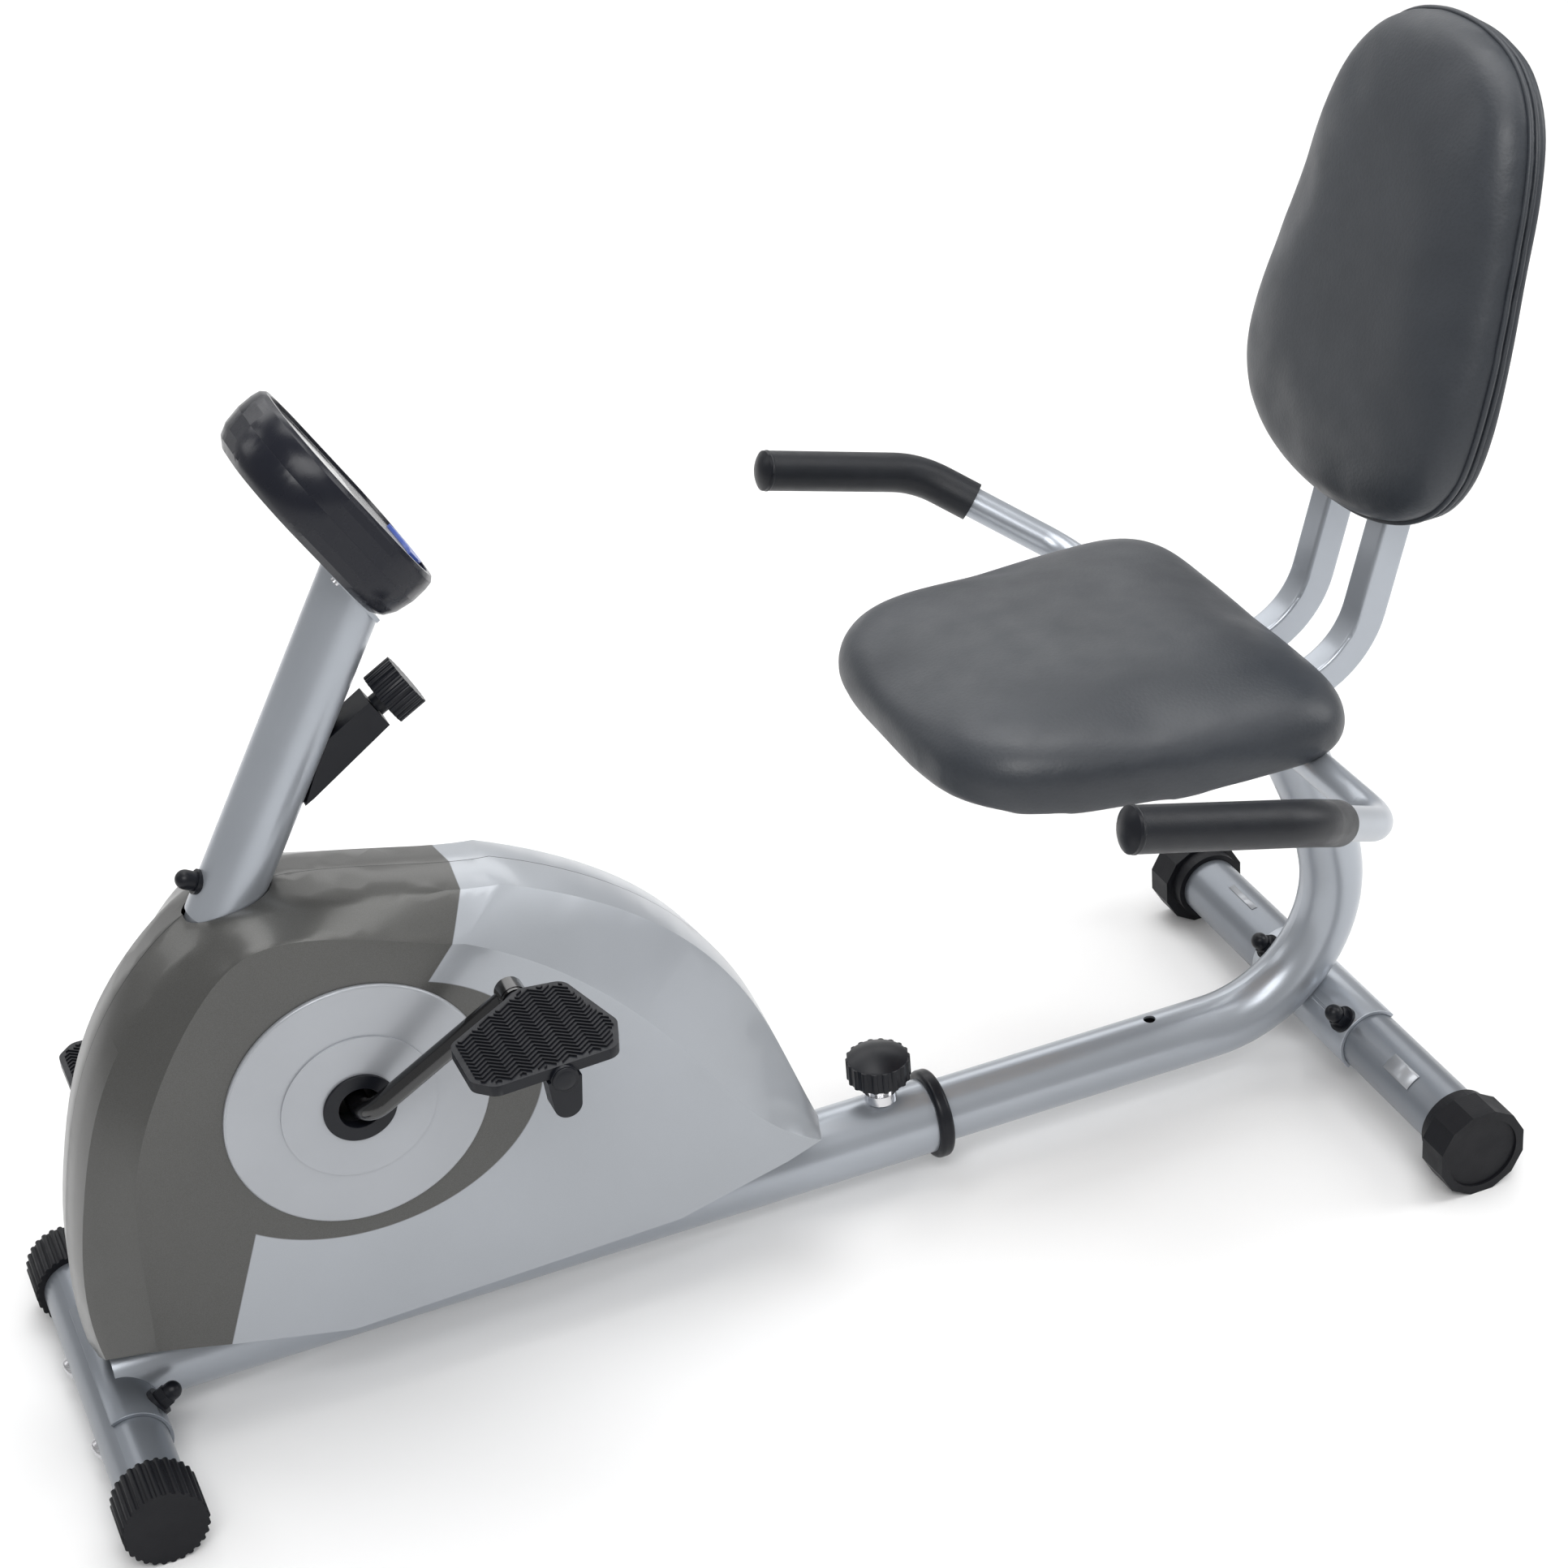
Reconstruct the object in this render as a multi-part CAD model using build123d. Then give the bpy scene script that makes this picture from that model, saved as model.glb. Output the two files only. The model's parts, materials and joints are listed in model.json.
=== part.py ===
from build123d import *
import os
from math import asin, atan2, cos, pi, radians, sin, sqrt, tan

# Recumbent exercise bike, in millimetres: +X rearwards, +Y to the rider's right, +Z up from
# the floor. While it is drawn, X is measured from the axis of the front stabiliser; place()
# then moves every piece so that the origin is in the middle of the base.
ORIGIN_X = 557.689

# Steel tubes of the frame
TUBE_R = 25.4
TUBE_WALL = 2.0
SLEEVE_R = 30.0
SLEEVE_BORE = 27.0
SLIDE_GAP = 0.08
BEAM_Z = 47.5
SLEEVE_END = 660.0
INNER_START = 400.0

# Stabilisers, their saddles and their feet
FRONT_Z = 31.5
FRONT_HALF = 168.0
REAR_X = 1025.6
REAR_Z = 40.0
REAR_HALF = 236.4
SADDLE_T = 3.0
SADDLE_HALF = 72.0
FRONT_TILT = 30.0
REAR_TILT = 133.0
FRONT_BOLT_Y = 50.0
REAR_BOLT_Y = 60.0
CAP_R = 31.5
CAP_RIBS = 28
CAP_LEN = 40.0
FOOT_SIDES = 12
FOOT_APOTHEM = 36.5
FOOT_OFFSET = 3.5
FOOT_LEN = 28.0
FOOT_COLLAR_R = 30.0

# Seat-position pin and the holes it drops into
PIN_X = 624.0
PIN_R = 5.0
PIN_HOLES = 7
PIN_PITCH = 25.0

# Crank, pulleys and flywheel
CRANK = (203.0, 261.0)
CRANK_ARM = 137.0
CRANK_ANGLE = 36.0
CRANK_ROD_R = 8.0
EYE_R = 10.5
ARM_Y = 84.0
PEDAL_Y = 105.0
PULLEY_R = 115.0
BELT_Y = 42.0
BELT_W = 10.0
FLYWHEEL = (392.0, 180.0)
FLYWHEEL_R = 88.0
FLYWHEEL_Y = (-26.0, -4.0)
SMALL_PULLEY_R = 24.0
BELT_GAP = 0.3
BELT_T = 3.0
IDLER_R = 16.0
AXLE_R = 5.0
MAGNET_PIVOT = (374.0, 284.0)

# Console post: a point on its axis and its lean from vertical
POST_POINT = (188.0, 483.0)
POST_LEAN = 29.9
POST_R = 24.6
POST_BORE = 22.6
POST_LOW = -95.0
STUB_R = 22.4
STUB_X = 100.0
POST_BOLT_S = -72.0

# Console: centre of its face and the way the face looks
FACE = (276.9, 703.0)
FACE_UP = 31.0
CONSOLE_LEN = 168.0
CONSOLE_WIDE = 136.0
CONSOLE_SHIFT = 5.0
SEAM_DEPTH = 20.0
CONSOLE_DEPTH = 46.0
SHELL_T = 2.5

# Shroud: half-width across the flat crown and across the side panels
CROWN_HALF = 34.0
PANEL_HALF = 65.0
SHROUD_T = 3.0

# Handlebar, seat and backrest
BAR_R = 12.7
GRIP_R = 16.4
BAR_TIP = (682.0, 318.0, 478.0)
BAR_BEND = (822.0, 318.0, 441.0)
GRIP_PAST = 52.0
BAR_CORNER = (925.0, 246.0, 370.5)
SQUARE = 25.0
BACK_Y = 38.2
BACK_LEAN = 16.5
BACK_BASE = (1031.0, 455.0)
SEAT_TILT = 3.2
SEAT_PIVOT = (925.0, 388.0)


def place(shape):
    return Pos(-ORIGIN_X, 0, 0) * shape


def rod(start, end, radius, bore=0.0):
    """A round bar from one point to another, hollow when it has a bore."""
    along = Vector(*end) - Vector(*start)
    plane = Plane(origin=start, z_dir=along)
    low = (Align.CENTER, Align.CENTER, Align.MIN)
    bar = plane * Cylinder(radius, along.length, align=low)
    if bore:
        bar -= plane * Cylinder(bore, along.length, align=low)
    return bar


def across(spot, y_from, y_to, radius, bore=0.0):
    """A round bar along Y at a place (x, z)."""
    return rod((spot[0], y_from, spot[1]), (spot[0], y_to, spot[1]), radius, bore)


def block(x_span, y_span, z_span):
    size = [b - a for a, b in (x_span, y_span, z_span)]
    middle = [(a + b) / 2 for a, b in (x_span, y_span, z_span)]
    return Pos(*middle) * Box(*size)


def plate(points, y_from, y_to):
    """A flat plate in the XZ plane, given by its outline, between two Y values."""
    outline = make_face(Polyline(*[(x, y_from, z) for x, z in points], close=True))
    return extrude(outline, y_to - y_from, dir=(0, 1, 0))


def bent_tube(points, radii, outer, bore=0.0):
    path = FilletPolyline(*points, radius=radii)
    section = Circle(outer)
    if bore:
        section -= Circle(bore)
    return sweep(Plane(origin=path @ 0, z_dir=path % 0) * section, path=path)


def mirror_y(shape):
    return mirror(shape, about=Plane.XZ)


def both_sides(shape):
    return Compound(children=[*shape.solids(), *mirror_y(shape).solids()])


def group(shapes):
    return Compound(children=[solid for shape in shapes for solid in shape.solids()])


def turned(shape, spot, tilt, y=0.0):
    """Turns a piece drawn along +X so that it points up at the tilt, at a place (x, z)."""
    return Pos(spot[0], y, spot[1]) * Rot(0, -tilt, 0) * shape


def saddle(spot, tilt, bolt_y):
    """Half pipe that cradles a stabiliser, open away from the frame, with two bolt holes."""
    pipe = across((0, 0), -SADDLE_HALF, SADDLE_HALF, TUBE_R + SADDLE_T, TUBE_R)
    pipe &= block((0, 60), (-SADDLE_HALF, SADDLE_HALF), (-60, 60))
    for y in (-bolt_y, bolt_y):
        pipe -= rod((0, y, 0), (60, y, 0), 4.2)
    return turned(pipe, spot, tilt)


def rear_saddle():
    """The rear saddle, welded to the underside of the C-shaped tube."""
    return saddle(REAR, REAR_TILT, REAR_BOLT_Y)


def stabilizer_tube(spot, tilt, bolt_y, half):
    tube = across((0, 0), -half, half, TUBE_R, TUBE_R - TUBE_WALL)
    for y in (-bolt_y, bolt_y):
        tube -= rod((-60, y, 0), (60, y, 0), 4.2)
    return turned(tube, spot, tilt)


def carriage_bolt(spot, tilt, y):
    head = rod((-TUBE_R - 4, 0, 0), (-TUBE_R + 3, 0, 0), 10)
    head = fillet(head.edges().sort_by(Axis.X)[0], 3)
    head -= across((0, 0), -20, 20, TUBE_R)
    return turned(head + rod((-TUBE_R - 1, 0, 0), (TUBE_R + 13, 0, 0), 4), spot, tilt, y)


def nut_cover(spot, tilt, y):
    """Black dome nut on its curved washer."""
    seat_x = TUBE_R + SADDLE_T
    washer = rod((seat_x - 3, 0, 0), (seat_x + 2, 0, 0), 11)
    washer -= across((0, 0), -20, 20, seat_x)
    nut = Pos(seat_x + 5.5, 0, 0) * Rot(0, 90, 0) * extrude(RegularPolygon(8.5, 6), 3.5, both=True)
    dome = rod((seat_x + 9, 0, 0), (seat_x + 13, 0, 0), 7) + Pos(seat_x + 13, 0, 0) * Sphere(7)
    cover = washer + nut + dome - rod((0, 0, 0), (TUBE_R + 13, 0, 0), 4)
    return turned(cover, spot, tilt, y)


def ribbed_cap():
    """Round rubber cap with rounded ribs, pushed over the end of the front stabiliser."""
    profile = Circle(CAP_R - 1.8)
    for step in range(CAP_RIBS):
        profile += Rot(0, 0, step * 360 / CAP_RIBS - 90) * Pos(CAP_R - 2.3, 0) * Circle(2.3)
    cap = Plane(origin=(0, -FRONT_HALF, FRONT_Z), z_dir=(0, 1, 0)) * extrude(profile, CAP_LEN)
    return cap - across((0, FRONT_Z), -FRONT_HALF + 4, 0, TUBE_R)


def levelling_cap():
    """Twelve-sided foot whose centre sits off the tube's axis, so turning it levels the bike."""
    centre = (REAR_X, REAR_Z - FOOT_OFFSET)
    radius = FOOT_APOTHEM / cos(pi / FOOT_SIDES)
    sides = Rot(0, 0, 180 / FOOT_SIDES) * RegularPolygon(radius, FOOT_SIDES)
    plane = Plane(origin=(centre[0], -REAR_HALF, centre[1]), x_dir=(1, 0, 0), z_dir=(0, 1, 0))
    foot = plane * extrude(sides, FOOT_LEN)
    foot -= across(centre, -REAR_HALF, -REAR_HALF + 2, 30)
    tube = (REAR_X, REAR_Z)
    foot += across(tube, -REAR_HALF + FOOT_LEN, -REAR_HALF + FOOT_LEN + 12, FOOT_COLLAR_R)
    return foot - across(tube, -REAR_HALF + 6, 0, TUBE_R + SLIDE_GAP)


# ---------------------------------------------------------------- front frame

def beam_cylinder():
    return rod((-20, 0, BEAM_Z), (SLEEVE_END, 0, BEAM_Z), SLEEVE_R)


def beam_sleeve():
    sleeve = rod((0, 0, BEAM_Z), (SLEEVE_END, 0, BEAM_Z), SLEEVE_R, SLEEVE_BORE)
    sleeve -= across((0, FRONT_Z), -60, 60, TUBE_R + SADDLE_T)
    return sleeve - rod((PIN_X, 0, BEAM_Z), (PIN_X, 0, BEAM_Z + 50), 8)


def front_bushing():
    """Plastic liner in the middle of the sleeve, round the sliding tube."""
    return rod((560, 0, BEAM_Z), (592, 0, BEAM_Z), SLEEVE_BORE, TUBE_R + SLIDE_GAP)


def collar_bushing():
    """Liner at the end of the sleeve, with the black collar round its mouth."""
    liner = rod((640, 0, BEAM_Z), (SLEEVE_END + 12, 0, BEAM_Z), SLEEVE_BORE)
    ring = rod((SLEEVE_END, 0, BEAM_Z), (SLEEVE_END + 12, 0, BEAM_Z), 36)
    ring = fillet(ring.edges().filter_by(GeomType.CIRCLE), 4)
    return liner + ring - rod((600, 0, BEAM_Z), (720, 0, BEAM_Z), TUBE_R + SLIDE_GAP)


def along_post(s, offset=0.0, y=0.0):
    """A point on the post's axis, or beside it on its rear (+) or front (-) side."""
    lean = radians(POST_LEAN)
    x = POST_POINT[0] + s * sin(lean) + offset * cos(lean)
    z = POST_POINT[1] + s * cos(lean) - offset * sin(lean)
    return (x, y, z)


def cable_route():
    """Tension cable: out of the bracket, down inside the post, back to the magnet carriage."""
    return [
        (266, 0, 527.5),
        along_post(40, y=-10),
        along_post(-80, y=-11),
        (106, -12, 344),
        (150, -13, 306),
        (250, -15, 318),
        (352, -15, 322),
        (432, -15, 304),
    ]


def cable(radius):
    return bent_tube(cable_route(), [14, 40, 50, 22, 60, 60], radius)


def stub_tube():
    low, high = (STUB_X, 0, BEAM_Z), along_post(-46)
    corner = (STUB_X, 0, along_post(0)[2] - (POST_POINT[0] - STUB_X) / tan(radians(POST_LEAN)))
    tube = bent_tube([low, corner, high], [60], STUB_R, STUB_R - 2.5)
    tube -= beam_cylinder()
    tube -= post_bolt_hole()
    return tube - cable(3.5)


def post_bolt_hole():
    return rod(along_post(POST_BOLT_S, -60), along_post(POST_BOLT_S, 60), 4.2)


def crank_tower():
    """Bottom bracket shell on its upright and on a brace from the front tube."""
    x, z = CRANK
    tower = rod((x, 0, BEAM_Z), (x, 0, z), 19, 16.5) + rod((STUB_X, 0, z), (x, 0, z), 12)
    tower -= beam_cylinder()
    tower -= rod((STUB_X, 0, z - 40), (STUB_X, 0, z + 40), STUB_R)
    tower -= across(CRANK, -35, 35, 25)
    return tower + across(CRANK, -35, 35, 25, 21)


def bearing_cups():
    cup = across(CRANK, -35, -25, 21, 14) + across(CRANK, -38, -35, 24, 14)
    return both_sides(cup)


def crank_bearings():
    return both_sides(across(CRANK, -34, -27, 14, CRANK_ROD_R + 0.05))


def console_post():
    tube = rod(along_post(POST_LOW), along_post(210), POST_R, POST_BORE)
    tube -= console_plane(-49) * block((-200, 200), (-100, 100), (0, 200))
    tube -= rod(cable_route()[1], cable_route()[0], 5)
    return tube - post_bolt_hole() + console_mount()


def console_mount():
    """Steel plate welded across the top of the post, with holes for the console's screws."""
    slab = Pos(60, 0, -47.5) * Box(48, 48, 3) - Pos(60, 0, -47.5) * Cylinder(12, 10)
    for x, y in console_screw_spots():
        slab -= Pos(x, y, -47.5) * Cylinder(2.1, 10)
    return console_plane() * slab


def post_bolt():
    """Carriage bolt through the foot of the post, with its dome nut at the front."""
    shank = rod(along_post(POST_BOLT_S, -POST_R - 10), along_post(POST_BOLT_S, POST_R + 1), 4)
    head = rod(along_post(POST_BOLT_S, POST_R - 3), along_post(POST_BOLT_S, POST_R + 3.5), 8)
    head -= rod(along_post(POST_LOW), along_post(100), POST_R)
    return shank + head


def post_nut():
    base = rod(along_post(POST_BOLT_S, -POST_R + 3), along_post(POST_BOLT_S, -POST_R - 2), 9)
    base -= rod(along_post(POST_LOW), along_post(100), POST_R)
    waist = rod(along_post(POST_BOLT_S, -POST_R - 2), along_post(POST_BOLT_S, -POST_R - 9), 7)
    dome = Pos(*along_post(POST_BOLT_S, -POST_R - 9)) * Sphere(7)
    shank = rod(along_post(POST_BOLT_S, 0), along_post(POST_BOLT_S, -POST_R - 10), 4)
    return base + waist + dome - shank


# ---------------------------------------------------------------- shroud

def ridge_outline():
    """Outline on the centre line: front rise, hump to the kink, then the long fall to the rear."""
    rise = [(-9, 66), (-13, 110), (0, 221), (33, 319), (86, 388), (132, 417), (188, 421), (338, 390)]
    fall = [(338, 390), (394, 361), (466, 303), (517, 228), (548, 142), (561, 104)]
    base = [(561, 104), (528, 86), (420, 70), (172, 64), (87, 72), (-9, 66)]
    return rise, fall, base


def crown_outline():
    """Edge of the crown, a little inside the ridge."""
    rise = [(-4, 84), (-8, 122), (5, 221), (38, 316), (90, 383), (133, 411), (188, 416), (336, 386)]
    fall = [(336, 386), (392, 357), (464, 300), (514, 226), (545, 142), (558, 105)]
    base = [(558, 105), (526, 87), (420, 71), (172, 65), (87, 78), (-4, 84)]
    return rise, fall, base


def panel_outline():
    """Edge of the flat side panel, inside the bevel."""
    rise = [(30, 102), (32, 160), (44, 262), (67, 316), (104, 372), (140, 402), (197, 401), (296, 366)]
    fall = [(296, 366), (346, 334), (415, 267), (454, 214), (496, 150), (548, 106)]
    base = [(548, 106), (520, 96), (430, 74), (172, 67), (87, 87), (30, 102)]
    return rise, fall, base


def pulled_in(outline, wall):
    """The same outline moved inwards towards its own middle by about one wall thickness."""
    middle = (230, 200)
    moved = []
    for run in outline:
        points = []
        for x, z in run:
            away = Vector(x - middle[0], z - middle[1])
            points.append((x - wall * 1.25 * away.X / away.length, z - wall * 1.25 * away.Y / away.length))
        moved.append(points)
    return moved


def outline_face(outline, y):
    rise, fall, base = [[(x, y, z) for x, z in run] for run in outline]
    return make_face(Spline(*rise) + Spline(*fall) + Polyline(*base))


def shroud_solid(wall):
    """Half of the shroud's outer shape on the -Y side, or of its hollow when wall is set."""
    outlines = [ridge_outline(), crown_outline(), panel_outline()]
    ridge, crown, panel = [pulled_in(outline, wall) if wall else outline for outline in outlines]
    edge = outline_face(crown, -CROWN_HALF + wall * 0.6)
    middle = loft([outline_face(ridge, 0), edge], ruled=True)
    return middle + loft([edge, outline_face(panel, -PANEL_HALF + wall)], ruled=True)


def screw_spots():
    return [(26, 122), (76, 352), (252, 386), (388, 328), (508, 176)]


def shroud_left_half():
    """Left half shell, with blind screw bosses, around the crank, post and beam."""
    shell = shroud_solid(0) - shroud_solid(SHROUD_T)
    for spot in screw_spots():
        shell += across(spot, -PANEL_HALF + 8, 0, 5.5) & shroud_solid(1)
        shell -= across(spot, -22, 0, 2)
    shell -= rod((-40, 0, BEAM_Z), (640, 0, BEAM_Z), SLEEVE_R + 1)
    shell -= across((0, FRONT_Z), -SADDLE_HALF - 5, 0, TUBE_R + SADDLE_T + 1)
    shell -= across(CRANK, -PANEL_HALF - 5, -40, 30)
    shell -= rod(along_post(-160), along_post(60), POST_R + 0.8)
    shell -= rod((STUB_X, 0, BEAM_Z), (STUB_X, 0, 160), STUB_R + 1)
    return max(shell.solids(), key=lambda solid: solid.volume)


def shroud_right_half():
    """Right half shell: the mirror image, with its bosses drilled through for screws."""
    shell = mirror_y(shroud_left_half())
    for spot in screw_spots():
        shell -= across(spot, 0, PANEL_HALF + 5, 2.3)
        shell -= across(spot, 10, PANEL_HALF + 5, 4.3)
    return max(shell.solids(), key=lambda solid: solid.volume)


def shroud_screws():
    return group([across(s, -18, 10, 2) + across(s, 10, 13, 4) for s in screw_spots()])


def disc_cover():
    """Round silver cover with a raised middle, on the outside of the side panel."""
    disc = across(CRANK, -PANEL_HALF - 3, -PANEL_HALF, 97.5)
    disc = fillet(disc.edges().sort_by(Axis.Y)[0], 2)
    disc += across(CRANK, -PANEL_HALF - 4.5, -PANEL_HALF - 3, 57)
    return disc - across(CRANK, -PANEL_HALF - 6, -PANEL_HALF, 24)


def crank_ring():
    ring = across(CRANK, -PANEL_HALF - 7, -PANEL_HALF - 4.5, 27) + across(CRANK, -PANEL_HALF - 5, -62, 24)
    return ring - across(CRANK, -PANEL_HALF - 10, -40, 16)


# ---------------------------------------------------------------- drive

def crank_rod():
    """One bar bent into both arms and the axle, with an eye at each end."""
    reach = (CRANK_ARM * cos(radians(CRANK_ANGLE)), CRANK_ARM * sin(radians(CRANK_ANGLE)))
    near = (CRANK[0] + reach[0], -PEDAL_Y, CRANK[1] + reach[1])
    far = (CRANK[0] - reach[0], PEDAL_Y, CRANK[1] - reach[1])
    route = [near, (CRANK[0], -ARM_Y, CRANK[1]), (CRANK[0], ARM_Y, CRANK[1]), far]
    bar = bent_tube(route, [20, 20], CRANK_ROD_R)
    for end, side in ((near, -1), (far, 1)):
        spot = (end[0], end[2])
        bar += across(spot, side * (PEDAL_Y - 7), side * (PEDAL_Y + 7), EYE_R)
        bar -= across(spot, side * (PEDAL_Y - 9), side * (PEDAL_Y + 9), 6.3)
    return bar


def pedal_spot():
    reach = radians(CRANK_ANGLE)
    return (CRANK[0] + CRANK_ARM * cos(reach), CRANK[1] + CRANK_ARM * sin(reach))


def pedal_spindle():
    spot = pedal_spot()
    return across(spot, -PEDAL_Y - 104, -PEDAL_Y + 7, 6.3) + across(spot, -PEDAL_Y - 10, -PEDAL_Y - 7, 10)


def tread_outline():
    """Six-sided foot plate with a cut inner corner, all its corners rounded."""
    x = pedal_spot()[0]
    points = [(-61, -158), (3, -115), (34, -120), (51, -184), (41, -214), (-48, -219), (-61, -206)]
    face = make_face(Polyline(*[(x + px, py) for px, py in points], close=True))
    return fillet(face.vertices(), 11)


def pedal_body():
    """Ribbed foot plate on its spindle housing, with the weight that keeps it level."""
    x, z = pedal_spot()
    tread = extrude(Pos(0, 0, z + 2) * tread_outline(), 8)
    tread += across((x, z), -218, -117, 9.8)
    tread += across((x, z), -219, -203, 9.9)
    tread += plate([(x - 12, z), (x + 12, z), (x + 10, z - 21), (x - 10, z - 21)], -219, -203)
    tread += across((x, z - 21), -219, -203, 10)
    return tread - across((x, z), -PEDAL_Y - 104.5, -100, 6.36)


def on_far_side(shape):
    """A pedal piece moved to the end of the far crank arm, mirrored."""
    x, z = pedal_spot()
    return Pos(2 * (CRANK[0] - x), 0, 2 * (CRANK[1] - z)) * mirror_y(shape)


def drive_pulley():
    low, high = BELT_Y, BELT_Y + BELT_W
    rim = across(CRANK, low, high, PULLEY_R, PULLEY_R - 7)
    rim += across(CRANK, low, low + 1, PULLEY_R + 2, PULLEY_R - 7)
    rim += across(CRANK, high - 1, high, PULLEY_R + 2, PULLEY_R - 7)
    web = across(CRANK, low + 3, high - 3, PULLEY_R - 5)
    hub = across(CRANK, low - 2, high + 2, 16)
    return rim + web + hub - across(CRANK, 0, 80, CRANK_ROD_R)


def flywheel():
    low, high = FLYWHEEL_Y
    rim = across(FLYWHEEL, low, high, FLYWHEEL_R, FLYWHEEL_R - 26)
    web = across(FLYWHEEL, (low + high) / 2 - 4, (low + high) / 2 + 4, FLYWHEEL_R - 20)
    hub = across(FLYWHEEL, low, BELT_Y + BELT_W, 15)
    return rim + web + hub - across(FLYWHEEL, -60, 80, 11.05)


def flywheel_pulley():
    low, high = BELT_Y, BELT_Y + BELT_W
    wheel = across(FLYWHEEL, low, high, SMALL_PULLEY_R, 15)
    wheel += across(FLYWHEEL, low, low + 1, SMALL_PULLEY_R + 2, 15)
    return wheel + across(FLYWHEEL, high - 1, high, SMALL_PULLEY_R + 2, 15)


def flywheel_bearings():
    return group([across(FLYWHEEL, y, y + 8, 11, AXLE_R) for y in (-24, 40)])


def flywheel_axle():
    return across(FLYWHEEL, -43, 61, AXLE_R)


def axle_nuts():
    nut = extrude(RegularPolygon(9, 6) - Circle(AXLE_R), 4)
    spots = [(-41, -36), (56.5, 60.5)]
    return group([Plane(origin=(FLYWHEEL[0], a, FLYWHEEL[1]), z_dir=(0, 1, 0)) * nut for a, b in spots])


def beam_pad(x_from, x_to, half):
    """Weld block that fills the gap between a flat foot plate and the round beam."""
    pad = block((x_from, x_to), (-half, half), (BEAM_Z + 10, BEAM_Z + SLEEVE_R))
    return pad - beam_cylinder()


def flywheel_bracket():
    """Welded fork: foot plate, far ear, and a near ear that also carries the magnet pivot."""
    x, z = FLYWHEEL
    px, pz = MAGNET_PIVOT
    top = BEAM_Z + SLEEVE_R
    foot = block((x - 26, x + 26), (-36, 56.5), (top, top + 4)) + beam_pad(x - 26, x + 26, 18)
    low = [(x - 26, top), (x + 26, top)]
    far_ear = plate([*low, (x + 15, z + 18), (x - 15, z + 18)], 53.5, 56.5)
    high = [(x + 18, z + 14), (px + 12, pz + 12), (px - 12, pz + 12), (x - 20, z)]
    near_ear = plate([*low, *high], -36, -33)
    bracket = foot + far_ear + near_ear - across(FLYWHEEL, -40, 60, AXLE_R)
    return bracket - across(MAGNET_PIVOT, -40, -30, 4)


def belt_outline(gap):
    """Round the two pulleys with straight runs between, this far outside both rims."""
    (x1, z1), (x2, z2) = CRANK, FLYWHEEL
    span = sqrt((x2 - x1) ** 2 + (z2 - z1) ** 2)
    heading = atan2(z2 - z1, x2 - x1)
    spread = asin((PULLEY_R - SMALL_PULLEY_R) / span)
    big, small = PULLEY_R + gap, SMALL_PULLEY_R + gap
    corners = []
    for (x, z), radius, sides in (((x1, z1), big, (1, -1)), ((x2, z2), small, (-1, 1))):
        for side in sides:
            angle = heading + side * (pi / 2 - spread)
            corners.append((x + radius * cos(angle), z + radius * sin(angle)))
    low, high = BELT_Y + 1.3, BELT_Y + BELT_W - 1.3
    return across(CRANK, low, high, big) + across(FLYWHEEL, low, high, small) + plate(corners, low, high)


def drive_belt():
    return belt_outline(BELT_GAP + BELT_T) - belt_outline(BELT_GAP)


def idler_spot():
    """Just below the middle of the belt's lower run."""
    return (300.0, 149.0 - BELT_T - 2 * BELT_GAP - IDLER_R)


def idler_wheel():
    wheel = across(idler_spot(), BELT_Y, BELT_Y + BELT_W, IDLER_R, 4.05)
    return wheel


def idler_bracket():
    x, z = idler_spot()
    top = BEAM_Z + SLEEVE_R
    foot = block((x - 12, x + 12), (-12, 56), (top, top + 3)) + beam_pad(x - 12, x + 12, 12)
    upright = plate([(x - 12, top), (x + 12, top), (x + 9, z + 9), (x - 9, z + 9)], 53, 56)
    return foot + upright - across((x, z), 50, 60, 4)


def idler_pin():
    return across(idler_spot(), BELT_Y - 3, 59, 4) + across(idler_spot(), BELT_Y - 3, BELT_Y - 0.5, 7)


def flywheel_sector(inner, outer, angles, y_from, y_to):
    """Part of a ring around the flywheel's axis between two angles above +X."""
    start, end = angles
    ring = across(FLYWHEEL, y_from, y_to, outer, inner)
    reach = 200
    wedge = [(FLYWHEEL[0], FLYWHEEL[1])]
    for angle in (start, (start + end) / 2, end):
        wedge.append((FLYWHEEL[0] + reach * cos(radians(angle)), FLYWHEEL[1] + reach * sin(radians(angle))))
    return ring & plate(wedge, y_from, y_to)


def magnet_carriage():
    """Channel over the flywheel's rim that swings about its front end."""
    low, high = FLYWHEEL_Y[0] - 5, FLYWHEEL_Y[1] + 5
    back = flywheel_sector(92, 95, (45, 100), low, high)
    cheeks = flywheel_sector(74, 95, (45, 92), low, low + 2)
    cheeks += flywheel_sector(74, 95, (45, 92), high - 2, high)
    x, z = MAGNET_PIVOT
    neck = plate([(x - 6, z), (x + 6, z), (x + 8, z - 11), (x - 1, z - 11)], low, high)
    lug = plate([(430, 262), (440, 257), (440, 283), (430, 289)], -20, -10)
    carriage = back + cheeks + neck + lug + across(MAGNET_PIVOT, low, high, 8)
    return carriage - across(MAGNET_PIVOT, low - 1, high + 1, 4.05)


def brake_magnets():
    low, high = FLYWHEEL_Y[0] - 3, FLYWHEEL_Y[1] + 3
    spans = ((49, 60), (64, 75), (79, 90))
    magnets = [flywheel_sector(76, 87, s, y, y + 2) for s in spans for y in (low, high - 2)]
    return group(magnets)


def magnet_pivot_pin():
    heads = across(MAGNET_PIVOT, 1.5, 4, 7) + across(MAGNET_PIVOT, -39, -36, 7)
    return across(MAGNET_PIVOT, -38, 3, 4) + heads



# ---------------------------------------------------------------- console

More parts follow.
